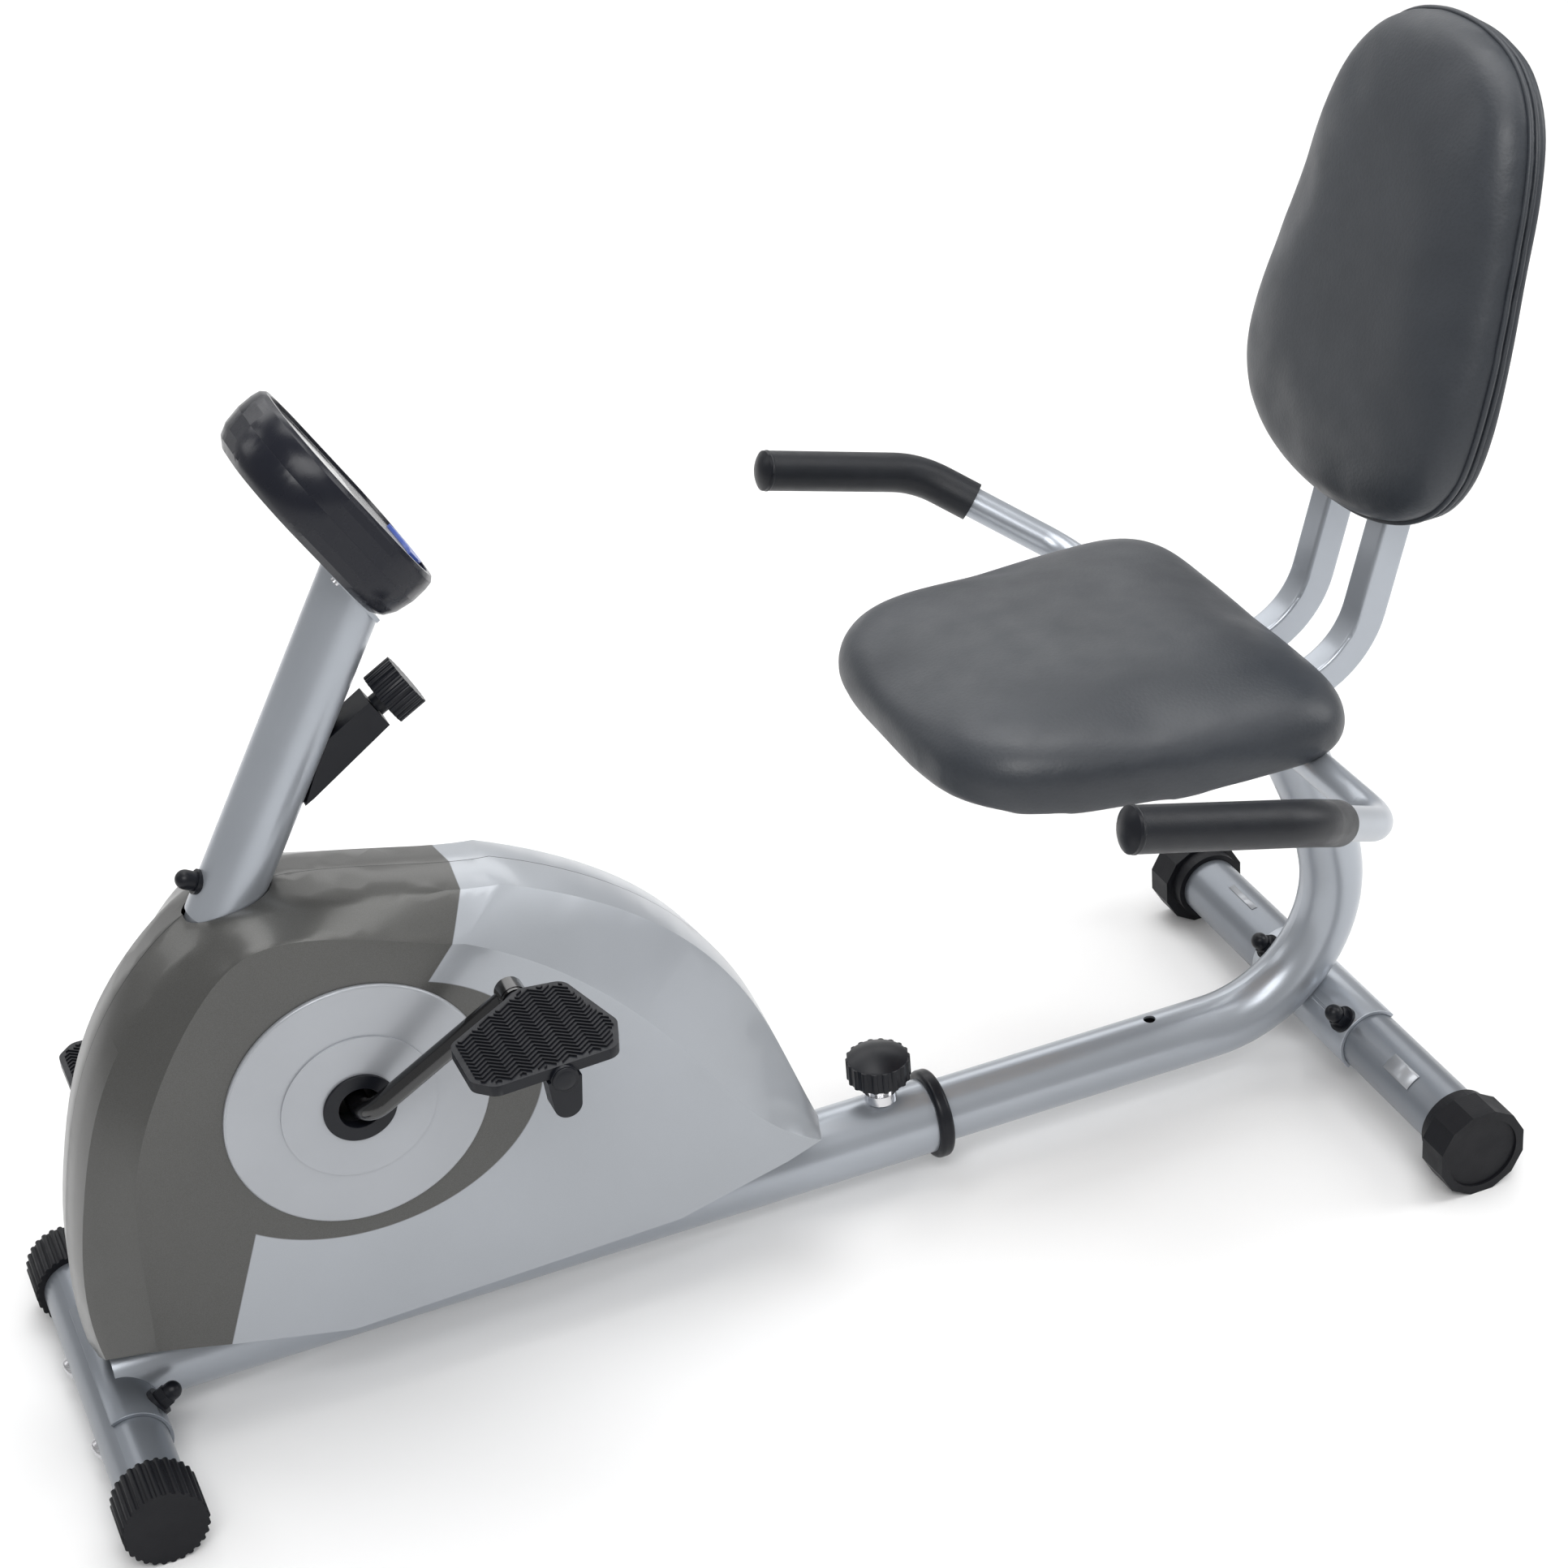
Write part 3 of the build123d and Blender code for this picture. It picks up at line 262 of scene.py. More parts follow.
def lcd():
    """Blank liquid-crystal panel with faint cell lines."""
    n = Nodes("lcd")
    cell = n.math("FRACT", n.math("MULTIPLY", n.xyz()[1], 700.0))
    line = n.math("LESS_THAN", cell, 0.08)
    tint = n.blend(n.noise(16), rgb(128, 138, 118), rgb(140, 150, 128))
    n.bump(n.noise(900), 0.03)
    base = n.blend(line, tint, rgb(118, 128, 110))
    return n.set(Base_Color=base, Roughness=n.spread(n.noise(40), 0.2, 0.3))


# Where the shroud's brown ends, in millimetres: an ellipse round the disc, a sloping line up the
# front and another one over the crown. A line is (x, z, rise of x with z).
SWOOSH_CENTRE = (206.0, 252.0)
SWOOSH_SIZE = (134.0, 103.0)
FRONT_LINE = (84.0, 91.0, 0.36)
CROWN_LINE = (284.0, 365.0, 0.84)
CROWN_FOOT = 300.0
# Half width, in metres, of the painted shade line along the join of the two shroud halves
SEAM_SHADE_HALF = 0.00035


def shroud_paint():
    """Two-tone sprayed moulding: brown-grey round the disc and the front, silver elsewhere, with
    painted shade along the join of the halves.
    """
    n = Nodes("shroud_paint")
    x, y, z = n.xyz()
    x = n.math("SUBTRACT", n.math("MULTIPLY", x, 1000.0), FRONT_AXIS * 1000)
    z = n.math("MULTIPLY", z, 1000.0)

    def before(distance):
        """One where the distance is negative, zero where it is positive, soft over 1 mm."""
        return n.spread(distance, 1.0, 0.0, -0.5, 0.5)

    def ahead_of(line):
        start, foot, slope = line
        edge = n.math("ADD", n.math("MULTIPLY", n.math("SUBTRACT", z, foot), slope), start)
        return before(n.math("SUBTRACT", x, edge))

    def share(value, centre, size):
        return n.math("DIVIDE", n.math("SUBTRACT", value, centre), size)

    across = share(x, SWOOSH_CENTRE[0], SWOOSH_SIZE[0])
    up = share(z, SWOOSH_CENTRE[1], SWOOSH_SIZE[1])
    squares = n.math("ADD", n.math("MULTIPLY", across, across), n.math("MULTIPLY", up, up))
    past = n.math("SUBTRACT", n.math("SQRT", squares), 1.0)
    swoosh = before(n.math("MULTIPLY", past, 110.0))
    front = ahead_of(FRONT_LINE)
    top = n.math("MULTIPLY", ahead_of(CROWN_LINE), before(n.math("SUBTRACT", CROWN_FOOT, z)))
    brown = n.math("MAXIMUM", n.math("MAXIMUM", swoosh, front), top)
    cloudy = n.spread(n.noise(6, 3), 0, 1)
    flake = n.math("MULTIPLY", n.spread(n.cells(2800), 0, 1, 0.1, 0.6), 0.05)
    dark = n.blend(cloudy, rgb(58, 57, 53), rgb(66, 65, 61))
    light = n.blend(cloudy, rgb(154, 158, 163), rgb(161, 165, 171))
    base = n.blend(brown, light, dark)
    base = n.blend(flake, base, rgb(226, 230, 238))
    # Painted shade: a thin dark line along the join of the two halves stands in for the shadow in
    # the gap between them.
    seam_shade = n.math("LESS_THAN", n.math("ABSOLUTE", y), SEAM_SHADE_HALF)
    base = n.blend(seam_shade, base, rgb(22, 22, 23))
    n.bump(n.noise(160, 1), 0.02, 0.0001)
    rough = n.spread(n.noise(24, 3), 0.28, 0.36, 0.1, 0.9)
    coat = n.spread(brown, 0.35, 0.16, 0.0, 1.0)
    return n.set(Base_Color=base, Roughness=rough, Metallic=0.35, Coat_Weight=coat,
                 Coat_Roughness=0.1)


def floor_material():
    """Pale matt paper."""
    n = Nodes("studio_floor")
    base = n.blend(n.noise(2, 2), (0.86, 0.86, 0.86, 1), (0.88, 0.88, 0.88, 1))
    rough = n.spread(n.noise(5), 0.85, 0.95)
    return n.set(Base_Color=base, Roughness=rough, Specular_IOR_Level=0.1)


MATERIALS = {
    "frame_silver": paint("frame_silver", rgb(166, 171, 178), metallic=0.6, rough=0.3, coat=0.15),
    "stabiliser_grey": paint("stabiliser_grey", rgb(126, 131, 138), metallic=0.6, rough=0.36),
    "black_steel": black_paint("black_steel"),
    "shroud_plastic": shroud_paint(),
    "disc_silver": paint("disc_silver", rgb(162, 165, 170), metallic=0.3, rough=0.34, coat=0.15),
    "black_plastic": moulded("black_plastic", rgb(18, 20, 26), 0.36, depth=0.14, shine=0.28),
    "black_rubber": moulded("black_rubber", rgb(15, 16, 21), 0.5, 700, 0.3, 0.2, 0.24),
    "grip_foam": grip_foam(),
    "vinyl": vinyl(),
    "board": plywood(),
    "steel": metal("steel", (0.42, 0.42, 0.43, 1), 0.36),
    "zinc": metal("zinc", (0.62, 0.62, 0.64, 1), 0.28),
    "chrome": metal("chrome", (0.78, 0.78, 0.80, 1), 0.12),
    "cast_iron": metal("cast_iron", (0.13, 0.13, 0.135, 1), 0.5, (1, 1, 1)),
    "belt_rubber": moulded("belt_rubber", rgb(24, 24, 25), 0.7, 500, 0.5, 0.25),
    "lens": clear_window(),
    "display": lcd(),
    "circuit": moulded("circuit", rgb(24, 92, 48), 0.4, 300, 0.4, 0.3),
    "magnet": metal("magnet", (0.3, 0.3, 0.31, 1), 0.4, (1, 1, 1)),
    "button_blue": moulded("button_blue", rgb(62, 84, 158), 0.3, 600, 0.08, 0.06),
    "console_plastic": moulded("console_plastic", rgb(20, 22, 31), 0.26, 1100, 0.08, 0.1, 0.32),
    "white_plastic": moulded("white_plastic", rgb(206, 204, 196), 0.5, 500, 0.15, 0.05),
}


SLOTS = {part["node"]: part["material_slot"] for part in frame["record"]["subparts"]}


def finish_node(node):
    """Gives a CAD node its record slot's material and, if EDGE_WIDTHS lists it, softens its sharp
    edges.
    """
    obj = NODES[node]
    obj.data.materials.clear()
    obj.data.materials.append(MATERIALS[SLOTS[node]])
    if node in EDGE_WIDTHS:
        soften_edges(obj, EDGE_WIDTHS[node])


# Two faces that meet at more than this many degrees count as a sharp edge
SHARP_EDGE = 28
# Vertices closer than this, in metres, are one
SAME_PLACE = 2e-6


def soften_edges(obj, width):
    """Rounds every sharp edge by a width, after joining the faces of the imported mesh."""
    weld = obj.modifiers.new("weld", "WELD")
    weld.merge_threshold = SAME_PLACE
    bevel = obj.modifiers.new("soft_edges", "BEVEL")
    bevel.width = width
    bevel.segments = 3
    bevel.limit_method = "ANGLE"
    bevel.angle_limit = radians(SHARP_EDGE)
    bevel.harden_normals = True


# Edge radii, in metres, of the moulded and turned pieces whose corners catch the light
EDGE_WIDTHS = {
    "shroud_left": 0.0008, "shroud_right": 0.0008, "disc_covers": 0.0008, "crank_rings": 0.0006,
    "console_back_shell": 0.0012, "console_front_shell": 0.0010, "tension_bracket": 0.0012,
    "tension_knob": 0.0007, "pin_knob": 0.0007, "front_end_caps": 0.0007,
    "levelling_cap_left": 0.0012, "levelling_cap_right": 0.0012,
    "pedal_left": 0.0012, "pedal_right": 0.0012, "front_saddle": 0.0006,
    "rear_saddle": 0.0006, "seat_back_frame": 0.0006, "mode_button": 0.0008,
}

for name in NODES:
    finish_node(name)


# ------------------------------------------------------------------ mesh helpers

def new_object(name, bm, material, smooth=True):
    """Turns a finished bmesh into a scene object with one material."""
    mesh = bpy.data.meshes.new(name)
    bmesh.ops.recalc_face_normals(bm, faces=bm.faces)
    bm.to_mesh(mesh)
    bm.free()
    obj = bpy.data.objects.new(name, mesh)
    bpy.context.scene.collection.objects.link(obj)
    obj.data.materials.append(MATERIALS[material])
    if smooth:
        for face in mesh.polygons:
            face.use_smooth = True
    return obj


def add_rings(bm, rings, closed_ends=True):
    """Skins a list of equal closed rings of points into a closed form."""
    verts = [[bm.verts.new(point) for point in ring] for ring in rings]
    count = len(verts[0])
    for a, b in zip(verts, verts[1:]):
        for i in range(count):
            j = (i + 1) % count
            bm.faces.new((a[i], a[j], b[j], b[i]))
    if closed_ends:
        bm.faces.new(list(reversed(verts[0])))
        bm.faces.new(verts[-1])


def circle(centre, first, second, radius, steps):
    """Points round a circle in the plane of two unit vectors."""
    angles = (2 * pi * k / steps for k in range(steps))
    return [centre + (first * cos(t) + second * sin(t)) * radius for t in angles]


# A direction that none of the beads runs along, so that it can orient their sections
SKEW = Vector((0.31, 0.17, 0.93))


def tube(name, path, radius, material, closed=False, sides=10):
    """A round bead along a list of points; the radius is one number, or a list of one for each."""
    radii = radius if isinstance(radius, list) else [radius] * len(path)
    bm = bmesh.new()
    rings = []
    total = len(path)
    for i, point in enumerate(path):
        before = path[i - 1] if (i or closed) else path[0]
        after = path[(i + 1) % total] if (i < total - 1 or closed) else path[-1]
        along = (after - before).normalized()
        side = along.cross(SKEW).normalized()
        rings.append(circle(point, side, along.cross(side), radii[i], sides))
    if closed:
        rings.append(rings[0])
    add_rings(bm, rings, not closed)
    bmesh.ops.remove_doubles(bm, verts=bm.verts, dist=1e-6)
    return new_object(name, bm, material)


def smooth_closed(points, steps):
    """Points evenly spread along a closed Catmull-Rom curve through the given ones."""
    total = len(points)
    pieces = 24
    dense = []
    for i in range(total):
        a, b, c, d = (points[(i + k - 1) % total] for k in range(4))
        for s in range(pieces):
            t = s / pieces
            dense.append(0.5 * ((2 * b) + (c - a) * t + (2 * a - 5 * b + 4 * c - d) * t * t
                                + (3 * b - a - 3 * c + d) * t ** 3))
    lengths = [0.0]
    for i, point in enumerate(dense):
        lengths.append(lengths[-1] + (dense[(i + 1) % len(dense)] - point).length)
    result = []
    k = 0
    for s in range(steps):
        goal = lengths[-1] * s / steps
        while lengths[k + 1] < goal:
            k += 1
        share = (goal - lengths[k]) / max(lengths[k + 1] - lengths[k], 1e-9)
        result.append(dense[k].lerp(dense[(k + 1) % len(dense)], share))
    return result


def mirrored_outline(half, last, mirror, steps):
    """Smooth closed outline from one side's points, in millimetres, mirrored, and a last point."""
    one = [Vector((x / 1000, y / 1000, 0)) for x, y in half]
    other = [Vector((p.x * mirror[0], p.y * mirror[1], 0)) for p in reversed(one[1:])]
    return smooth_closed(one + [last] + other, steps)


def ride(obj, body):
    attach(obj, body)
    return obj


# ------------------------------------------------------------------ cushions

def pad_mesh(name, outline, layers, to_frame, droop=None):
    """Closed pad whose outline is drawn in its own plane; layers are (height, inset).

    Heights below the board are scaled by droop, which depends on the place on the outline.
    """
    bm = bmesh.new()
    middle = sum(outline, Vector((0, 0, 0))) / len(outline)
    rings = []
    for height, inset in layers:
        ring = []
        for point in outline:
            out = point - middle
            scale = droop(point) if droop and height < 0 else 1.0
            place = middle + out * (1 - inset / out.length)
            ring.append(to_frame @ (place + Vector((0, 0, height * scale))))
        rings.append(ring)
    add_rings(bm, rings)
    return new_object(name, bm, "vinyl")


# The blown cushions, in metres: mesh size, height that the board holds, most that a point may move
CUSHION_MESH = 0.0055
HELD_HEIGHT = 0.010
MOST_SWELL = 0.005
CUSHION_PRESSURE = 2.2
CLOTH_STEPS = 20


def blow_up(obj):
    """Runs the cloth simulation on the pad, with its held points fixed."""
    cloth = obj.modifiers.new("cloth", "CLOTH")
    cloth.settings.quality = 5
    cloth.settings.mass = 0.4
    cloth.settings.tension_stiffness = 25
    cloth.settings.compression_stiffness = 25
    cloth.settings.bending_stiffness = 8
    cloth.settings.use_pressure = True
    cloth.settings.uniform_pressure_force = CUSHION_PRESSURE
    cloth.settings.vertex_group_mass = "held"
    cloth.settings.effector_weights.gravity = 0
    cloth.collision_settings.use_collision = False
    cloth.point_cache.frame_start = 1
    cloth.point_cache.frame_end = CLOTH_STEPS
    for step in range(1, CLOTH_STEPS + 1):
        bpy.context.scene.frame_set(step)
    apply_modifiers(obj)
    bpy.context.scene.frame_set(1)


def inflate(obj, to_frame):
    """Blows the pad up as cloth with its board side held, then keeps the shape."""
    remesh = obj.modifiers.new("remesh", "REMESH")
    remesh.mode = "VOXEL"
    remesh.voxel_size = CUSHION_MESH
    apply_modifiers(obj)
    rest = [v.co.copy() for v in obj.data.vertices]
    normal = (to_frame.to_3x3() @ Vector((0, 0, 1))).normalized()
    held = obj.vertex_groups.new(name="held")
    for v in obj.data.vertices:
        if (v.co - to_frame.translation).dot(normal) < HELD_HEIGHT:
            held.add([v.index], 1.0, "REPLACE")
    blow_up(obj)
    for v, was in zip(obj.data.vertices, rest):
        moved = v.co - was
        if moved.length > MOST_SWELL:
            v.co = was + moved * (MOST_SWELL / moved.length)
    settle = obj.modifiers.new("settle", "SMOOTH")
    settle.factor = 0.6
    settle.iterations = 30
    fine = obj.modifiers.new("fine", "SUBSURF")
    fine.levels = 1
    fine.render_levels = 1
    apply_modifiers(obj)
    for face in obj.data.polygons:
        face.use_smooth = True


def apply_modifiers(obj):
    """Replaces the mesh by what its modifiers make of it."""
    graph = bpy.context.evaluated_depsgraph_get()
    mesh = bpy.data.meshes.new_from_object(obj.evaluated_get(graph))
    old = obj.data
    obj.modifiers.clear()
    obj.data = mesh
    if len(old.materials) and not len(mesh.materials):
        mesh.materials.append(old.materials[0])
    bpy.data.meshes.remove(old)


# Seat: X rearwards, Y across, Z up from the board, about a point above the handlebar
SEAT_FRAME = Matrix.Translation(at(925, 0, 388)) @ Matrix.Rotation(radians(3.2), 4, "Y")


# Half of the seat's edge: blunt front, widest behind the middle
SEAT_EDGE = [(-279, 0), (-277, 70), (-262, 114), (-220, 145), (-120, 162), (-40, 169), (6, 165),
             (32, 135), (38, 70)]
SEAT_REAR = Vector((0.039, 0, 0))
# Height above the board and inset: under the lip, round the side, over the top
SEAT_LAYERS = [(0.003, 0.060), (-0.001, 0.044), (-0.010, 0.030), (-0.017, 0.018), (-0.018, 0.008),
               (-0.011, 0.001), (0.002, -0.003), (0.014, -0.003), (0.024, 0.000), (0.034, 0.008),
               (0.042, 0.021), (0.047, 0.042), (0.050, 0.070), (0.052, 0.100)]


def seat_droop(point):
    """How far the lip hangs: most along the sides ahead of the middle, least at the back."""
    back = min(max((point.x + 0.10) / 0.13, 0), 1)
    front = min(max((-0.20 - point.x) / 0.07, 0), 1)
    return 1.15 - 0.75 * back - 0.35 * front


def seat_cushion():
    """The vinyl is pulled round the board's edge and stapled underneath."""
    outline = mirrored_outline(SEAT_EDGE, SEAT_REAR, (1, -1), 150)
    pad = pad_mesh("seat_cushion", outline, SEAT_LAYERS, SEAT_FRAME, seat_droop)
    inflate(pad, SEAT_FRAME)
    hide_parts("seat_pad")
    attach(pad, "rear_frame")


# Backrest: X across, Y up its slope, Z forwards from the rear face
LEAN = radians(16.5)


def back_frame():
    """Frame of the backrest's rear face."""
    across = Vector((0, -1, 0))
    up = Vector((sin(LEAN), 0, cos(LEAN)))
    out = across.cross(up)
    axes = Matrix((across, up, out)).transposed().to_4x4()
    return Matrix.Translation(at(1031, 0, 455)) @ axes


BACK_FRAME = back_frame()


BACK_EDGE = [(0, 38), (66, 46), (116, 68), (142, 100), (150, 142), (146, 200), (136, 262),
             (126, 318), (108, 365), (77, 396), (38, 410)]
BACK_TOP = Vector((0, 0.414, 0))
BACK_MIDDLE = Vector((0, 0.215, 0))
BACK_LAYERS = [(0.0, 0.012), (0.001, 0.004), (0.006, 0.0), (0.018, 0.0), (0.028, 0.002),
               (0.037, 0.009), (0.0435, 0.021), (0.0465, 0.040), (0.048, 0.066)]
COVER_LAYERS = [(-0.0016, 0.060), (-0.0016, 0.020), (-0.0014, 0.012), (-0.0006, 0.0072),
                (0.0010, 0.0052), (0.0040, 0.0046), (0.0070, 0.0060), (0.0075, 0.0140)]
WELT_HEIGHTS = (0.0035, 0.0145)
WELT_RADIUS = 0.0022


def back_outline(inset=0.0):
    ring = mirrored_outline(BACK_EDGE, BACK_TOP, (-1, 1), 170)
    return [p - (p - BACK_MIDDLE).normalized() * inset for p in ring]


def back_cushion():
    pad = pad_mesh("backrest_cushion", back_outline(0.002), BACK_LAYERS, BACK_FRAME)
    inflate(pad, BACK_FRAME)
    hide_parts("backrest_pad")
    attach(pad, "rear_frame")
    return pad


def back_cover():
    """Thin vinyl panel that covers the board's rear face and tucks in under the rear welt."""
    cover = pad_mesh("backrest_rear_cover", back_outline(), COVER_LAYERS, BACK_FRAME)
    ride(cover, "rear_frame")


def back_piping(cushion):
    """Two welts round the rear edge of the backrest, laid on the finished cushion."""
    middle = BACK_FRAME @ (BACK_MIDDLE + Vector((0, 0, 0.010)))
    for index, height in enumerate(WELT_HEIGHTS):
        path = []
        for point in back_outline():
            probe = BACK_FRAME @ (point + Vector((0, 0, height)))
            _, place, normal, _ = cushion.closest_point_on_mesh(probe)
            path.append(place + normal * 0.0004)
        for _ in range(3):
            following = path[1:] + path[:1]
            path = [(path[i - 1] + path[i] * 2 + following[i]) / 4 for i in range(len(path))]
        path = [p + (p - middle).normalized() * 0.0006 for p in path]
        welt = tube(f"backrest_welt_{index + 1}", path, WELT_RADIUS, "vinyl", closed=True)
        ride(welt, "rear_frame")


# ------------------------------------------------------------------ pedals

# The foot plate's corners: distance behind the pedal's front edge, and distance from the middle
TREAD = [(0, 158), (64, 115), (95, 120), (112, 184), (102, 214), (13, 219), (0, 206)]
# Chevron ribs: pitch across the plate, half width, depth below and height above the plate,
# length of one leg of the zigzag and the clearance to the plate's edge
RIB_PITCH = 0.0046
RIB_HALF = 0.0011
RIB_ROOT, RIB_TOP = 0.0004, 0.0012
ZIGZAG = 0.0086
RIB_CLEARANCE = 0.0030
RIB_ROWS, RIB_COLUMNS, RIB_STEPS = 34, 14, 4
FIRST_RIB = 0.104


def tread_edge(low, side):
    """The plate's outline at its place under the scene's axes."""
    return [Vector((low[0] + x / 1000, side * y / 1000, 0)) for x, y in TREAD]


def clear_of_edge(edge, point, margin):
    """Whether a point is inside the closed outline by at least the margin."""
    hit = False
    for a, b in zip(edge, edge[1:] + edge[:1]):
        if (a.y > point.y) != (b.y > point.y):
            if point.x < (b.x - a.x) * (point.y - a.y) / (b.y - a.y) + a.x:
                hit = not hit
        along = b - a
        share = min(max((point - a).dot(along) / along.length_squared, 0), 1)
        if (a + along * share - point).length < margin:
            return False
    return hit


def rib_piece(bm, start, end, top):
    """One short straight piece of a rib, narrower at its crest."""
    across = Vector((0, RIB_HALF, 0))
    low, high = Vector((0, 0, top - RIB_ROOT)), Vector((0, 0, top + RIB_TOP))
    foot = [start - across, end - across, end + across, start + across]
    crest = [start - across * 0.6, end - across * 0.6, end + across * 0.6, start + across * 0.6]
    verts = [bm.verts.new(p + low) for p in foot] + [bm.verts.new(p + high) for p in crest]
    for quad in ((3, 2, 1, 0), (4, 5, 6, 7), (0, 1, 5, 4), (1, 2, 6, 5), (2, 3, 7, 6),
                 (3, 0, 4, 7)):
        bm.faces.new([verts[k] for k in quad])


def pedal_tread(node, body, side):
    """Raised chevron ribs moulded over the whole foot plate."""
    low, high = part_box(node)
    edge = tread_edge(low, side)
    bm = bmesh.new()
    for row in range(RIB_ROWS):
        for column in range(RIB_COLUMNS):
            for step in range(RIB_STEPS):
                ends = []
                for share in (step / RIB_STEPS, (step + 1) / RIB_STEPS):
                    rise = share if column % 2 else 1 - share
                    out = FIRST_RIB + row * RIB_PITCH - rise * ZIGZAG * 0.8
                    ends.append(Vector((low[0] + (column + share) * ZIGZAG, side * out, 0)))
                if all(clear_of_edge(edge, p, RIB_CLEARANCE) for p in ends):
                    rib_piece(bm, ends[0], ends[1], high[2])
    ride(new_object(f"{node}_tread", bm, "black_rubber", smooth=False), body)


# Spindle's place: behind the plate's front edge, out from the middle, below the plate's top
SPINDLE_BACK, SPINDLE_OUT, SPINDLE_DOWN = 0.061, 0.219, 0.010
# The cap's profile: radius and distance out from the hub's face
CAP_PROFILE = ((0.0092, -0.001), (0.0092, 0.0006), (0.0086, 0.0012), (0.0078, 0.0008),
               (0.0070, 0.0012), (0.0030, 0.0017))


def dust_cap(node, body, side):
    """Round cap over the end of the pedal's spindle."""
    low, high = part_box(node)
    centre = Vector((low[0] + SPINDLE_BACK, side * SPINDLE_OUT, high[2] - SPINDLE_DOWN))
    bm = bmesh.new()
    rings = []
    for radius, out in CAP_PROFILE:
        middle = centre + Vector((0, side * out, 0))
        rings.append(circle(middle, Vector((1, 0, 0)), Vector((0, 0, 1)), radius, 32))
    add_rings(bm, rings)
    ride(new_object(f"{node}_dust_cap", bm, "black_plastic"), body)


# ------------------------------------------------------------------ weld beads

WELD_RADIUS = 0.0016
WELD_RIPPLE = 0.16
# The handlebar's axis and radius, the back tubes' distance from the middle and half their width
BAR_X, BAR_Z, BAR_RADIUS = 925, 370.5, 0.0127
BACK_TUBE_OUT = 38.2
BACK_TUBE_HALF = 0.0132


def weld_bead(name, path):
    """Rippled bead along a joint between two painted tubes."""
    radii = [WELD_RADIUS * (1 + WELD_RIPPLE * sin(i * 2 * pi / 3)) for i in range(len(path))]
    ride(tube(name, path, radii, "frame_silver", closed=True), "rear_frame")


def add_weld_beads():
    """Beads round the handlebar on both sides of each square back tube."""
    for side in (-1, 1):
        name = "left" if side < 0 else "right"
        for edge in (-BACK_TUBE_HALF, BACK_TUBE_HALF):
            centre = at(BAR_X, side * BACK_TUBE_OUT, BAR_Z) + Vector((0, edge, 0))
            part = "outer" if edge * side > 0 else "inner"
            ring = circle(centre, Vector((1, 0, 0)), Vector((0, 0, 1)), BAR_RADIUS, 48)
            weld_bead(f"back_tube_weld_{name}_{part}", ring)


# ------------------------------------------------------------------ seat pin spring

SPRING_WIRE = 0.0008
SPRING_TURNS = 6
STEPS_PER_TURN = 24


def coil_spring():
    """Wire spring round the seat pin. The real spring shortens as the pin is pulled; this one
    keeps one length and rides with the pin.
    """
    low, high = (Vector(corner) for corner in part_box("pin_spring"))
    middle = (low + high) / 2
    radius = (high.x - low.x) / 2 - SPRING_WIRE
    rise = high.z - low.z - 2 * SPRING_WIRE
    total = SPRING_TURNS * STEPS_PER_TURN
    path = []
    for k in range(total + 1):
        turn = 2 * pi * k / STEPS_PER_TURN
        height = low.z + SPRING_WIRE + rise * k / total
        path.append(Vector((middle.x + radius * cos(turn), middle.y + radius * sin(turn), height)))
    spring = tube("seat_pin_spring", path, SPRING_WIRE, "steel", sides=8)
    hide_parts("pin_spring")
    ride(spring, "seat_pin")
    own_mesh(spring)


# ------------------------------------------------------------------ small trim

REAR_AXIS = at(1025.6, 0, 40)
STABILISER_RADIUS = 0.0254
LABEL_THICKNESS = 0.0004
LABEL_STEPS = 8


def rear_label(y_from, y_to, start, width, index):
    """Blank silver plate wrapped on the rear stabiliser; the angles are in degrees from behind."""
    bm = bmesh.new()
    rows = []
    for k in range(LABEL_STEPS + 1):
        angle = radians(start - width * k / LABEL_STEPS)
        out = Vector((cos(angle), 0, sin(angle)))
        point = REAR_AXIS + out * (STABILISER_RADIUS + 0.0005)
        rows.append([bm.verts.new((point.x, y / 1000, point.z)) for y in (y_from, y_to)])
    for a, b in zip(rows, rows[1:]):
        bm.faces.new((a[0], a[1], b[1], b[0]))
    label = new_object(f"blank_label_{index}", bm, "disc_silver")
    thick = label.modifiers.new("thick", "SOLIDIFY")
    thick.thickness = LABEL_THICKNESS
    ride(label, "rear_frame")


# The handlebar's end and its bend inside the grip, in millimetres
GRIP_OUT = 318
GRIP_TIP = (682, 478)
GRIP_BEND = (822, 441)
LIP_BACK = 0.0085
LIP_RING, LIP_RADIUS = 0.0156, 0.0013


def plug_ring(side):
    """Raised lip of the grip round its domed end plug."""
    tip = at(GRIP_TIP[0], side * GRIP_OUT, GRIP_TIP[1])
    bend = at(GRIP_BEND[0], side * GRIP_OUT, GRIP_BEND[1])
    along = (bend - tip).normalized()
    across = Vector((0, 1, 0))
    path = circle(tip + along * LIP_BACK, across, along.cross(across), LIP_RING, 48)
    name = "left" if side < 0 else "right"
    lip = tube(f"grip_lip_{name}", path, LIP_RADIUS, "grip_foam", closed=True)
    ride(lip, "rear_frame")


seat_cushion()
back_piping(back_cushion())
back_cover()
for node, side in (("pedal_left", -1), ("pedal_right", 1)):
    pedal_tread(node, f"{node}_body", side)
    dust_cap(node, f"{node}_body", side)
add_weld_beads()
coil_spring()
for side in (-1, 1):
    plug_ring(side)
rear_label(-160, -125, 144, 32, 1)
rear_label(112, 152, 104, 12, 2)


# ------------------------------------------------------------------ studio

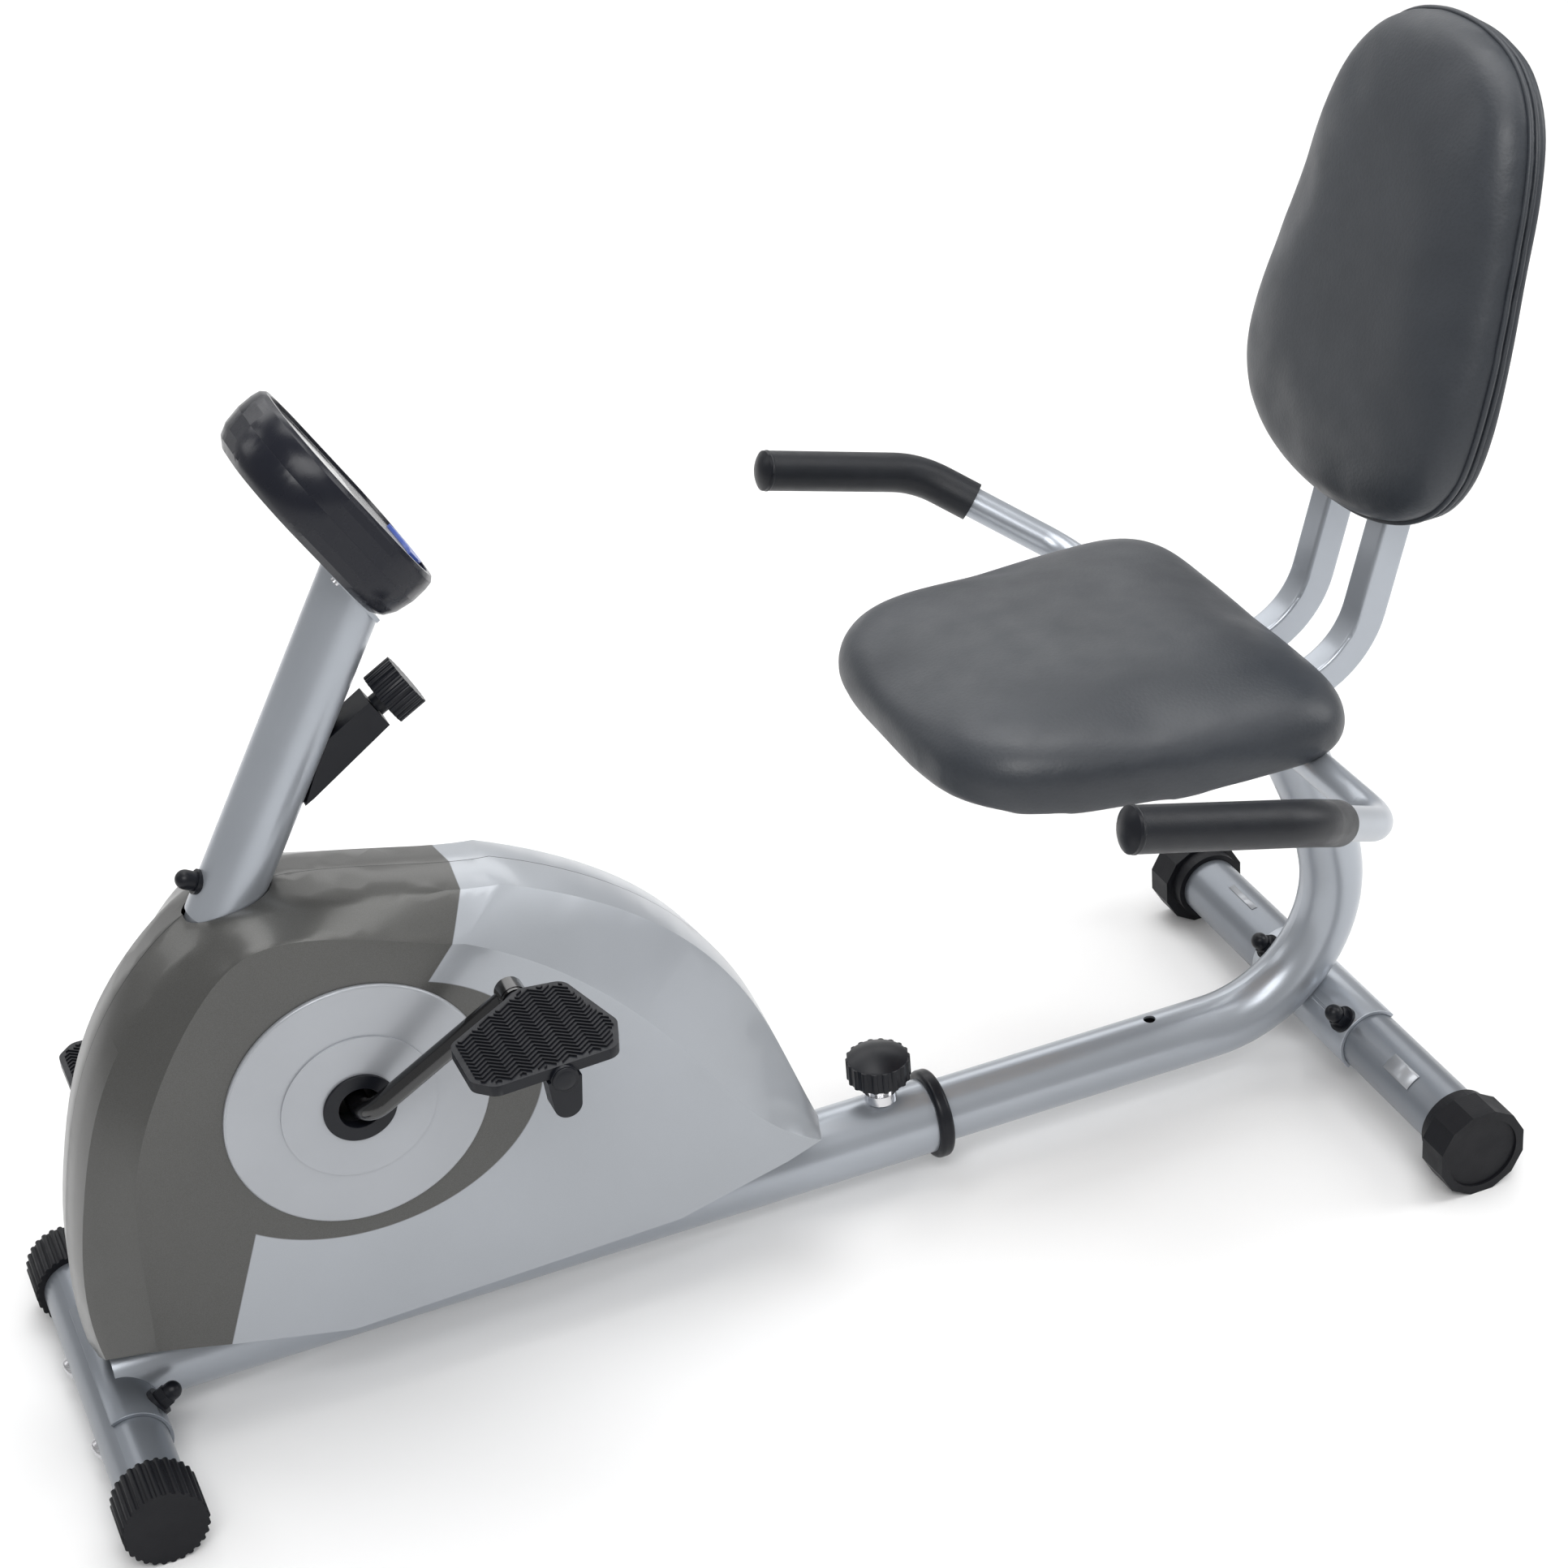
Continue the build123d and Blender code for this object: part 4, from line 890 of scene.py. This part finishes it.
def add_floor():
    """Wide pale floor that curves up behind the bike."""
    bm = bmesh.new()
    rows = [(-4, 0), (6.0, 0), (6.6, 0.08), (7.1, 0.4), (7.4, 1.0), (7.5, 4.0)]
    verts = [[bm.verts.new((x, y, z)) for x in (-7, 7)] for y, z in rows]
    for a, b in zip(verts, verts[1:]):
        bm.faces.new((a[0], a[1], b[1], b[0]))
    mesh = bpy.data.meshes.new("studio_floor")
    bm.to_mesh(mesh)
    bm.free()
    floor = bpy.data.objects.new("studio_floor", mesh)
    bpy.context.scene.collection.objects.link(floor)
    mesh.materials.append(floor_material())
    for face in mesh.polygons:
        face.use_smooth = True


def add_light(name, place, target, size, power):
    """Rectangular soft box aimed at a target."""
    light = bpy.data.lights.new(name, "AREA")
    light.shape = "RECTANGLE"
    light.size, light.size_y = size
    light.energy = power
    obj = bpy.data.objects.new(name, light)
    bpy.context.scene.collection.objects.link(obj)
    obj.location = place
    obj.rotation_euler = (Vector(target) - Vector(place)).to_track_quat("-Z", "Y").to_euler()


def add_world():
    """Even white light from all round."""
    world = bpy.data.worlds.new("studio")
    world.use_nodes = True
    background = world.node_tree.nodes["Background"]
    background.inputs[0].default_value = (1, 1, 1, 1)
    background.inputs[1].default_value = 0.42
    bpy.context.scene.world = world


# The camera's turns in radians: its heading, how far it looks down, and its roll
HEADING, LOOK_DOWN, ROLL = -0.349, 0.533, -0.087


def add_camera():
    """Long lens from the rider's left and above, a little off level."""
    camera = bpy.data.cameras.new("camera")
    camera.lens = 76.45
    camera.sensor_width = 36
    camera.clip_end = 50
    obj = bpy.data.objects.new("camera", camera)
    bpy.context.scene.collection.objects.link(obj)
    heading = Matrix.Rotation(HEADING, 4, "Z")
    tilt = Matrix.Rotation(pi / 2 - LOOK_DOWN, 4, "X")
    roll = Matrix.Rotation(ROLL, 4, "Z")
    obj.matrix_world = Matrix.Translation(at(-155.3, -1982.9, 1627.1)) @ heading @ tilt @ roll
    bpy.context.scene.camera = obj


add_floor()
add_world()
add_light("key", (-0.9, -2.4, 3.0), (0, 0, 0.3), (2.4, 1.4), 64)
add_light("front", (-2.4, 1.8, 2.2), (-0.4, 0, 0.3), (1.0, 1.0), 7)
add_light("top", (0.4, 0.4, 3.2), (0, 0, 0.3), (3.0, 2.0), 66)
add_light("rim", (2.6, -0.8, 1.8), (0.2, 0, 0.4), (1.2, 1.8), 26)
add_light("wash", (1.0, 4.2, 3.0), (1.0, 4.2, 0), (6.0, 3.0), 110)
add_camera()
bpy.context.scene.view_settings.view_transform = "Standard"
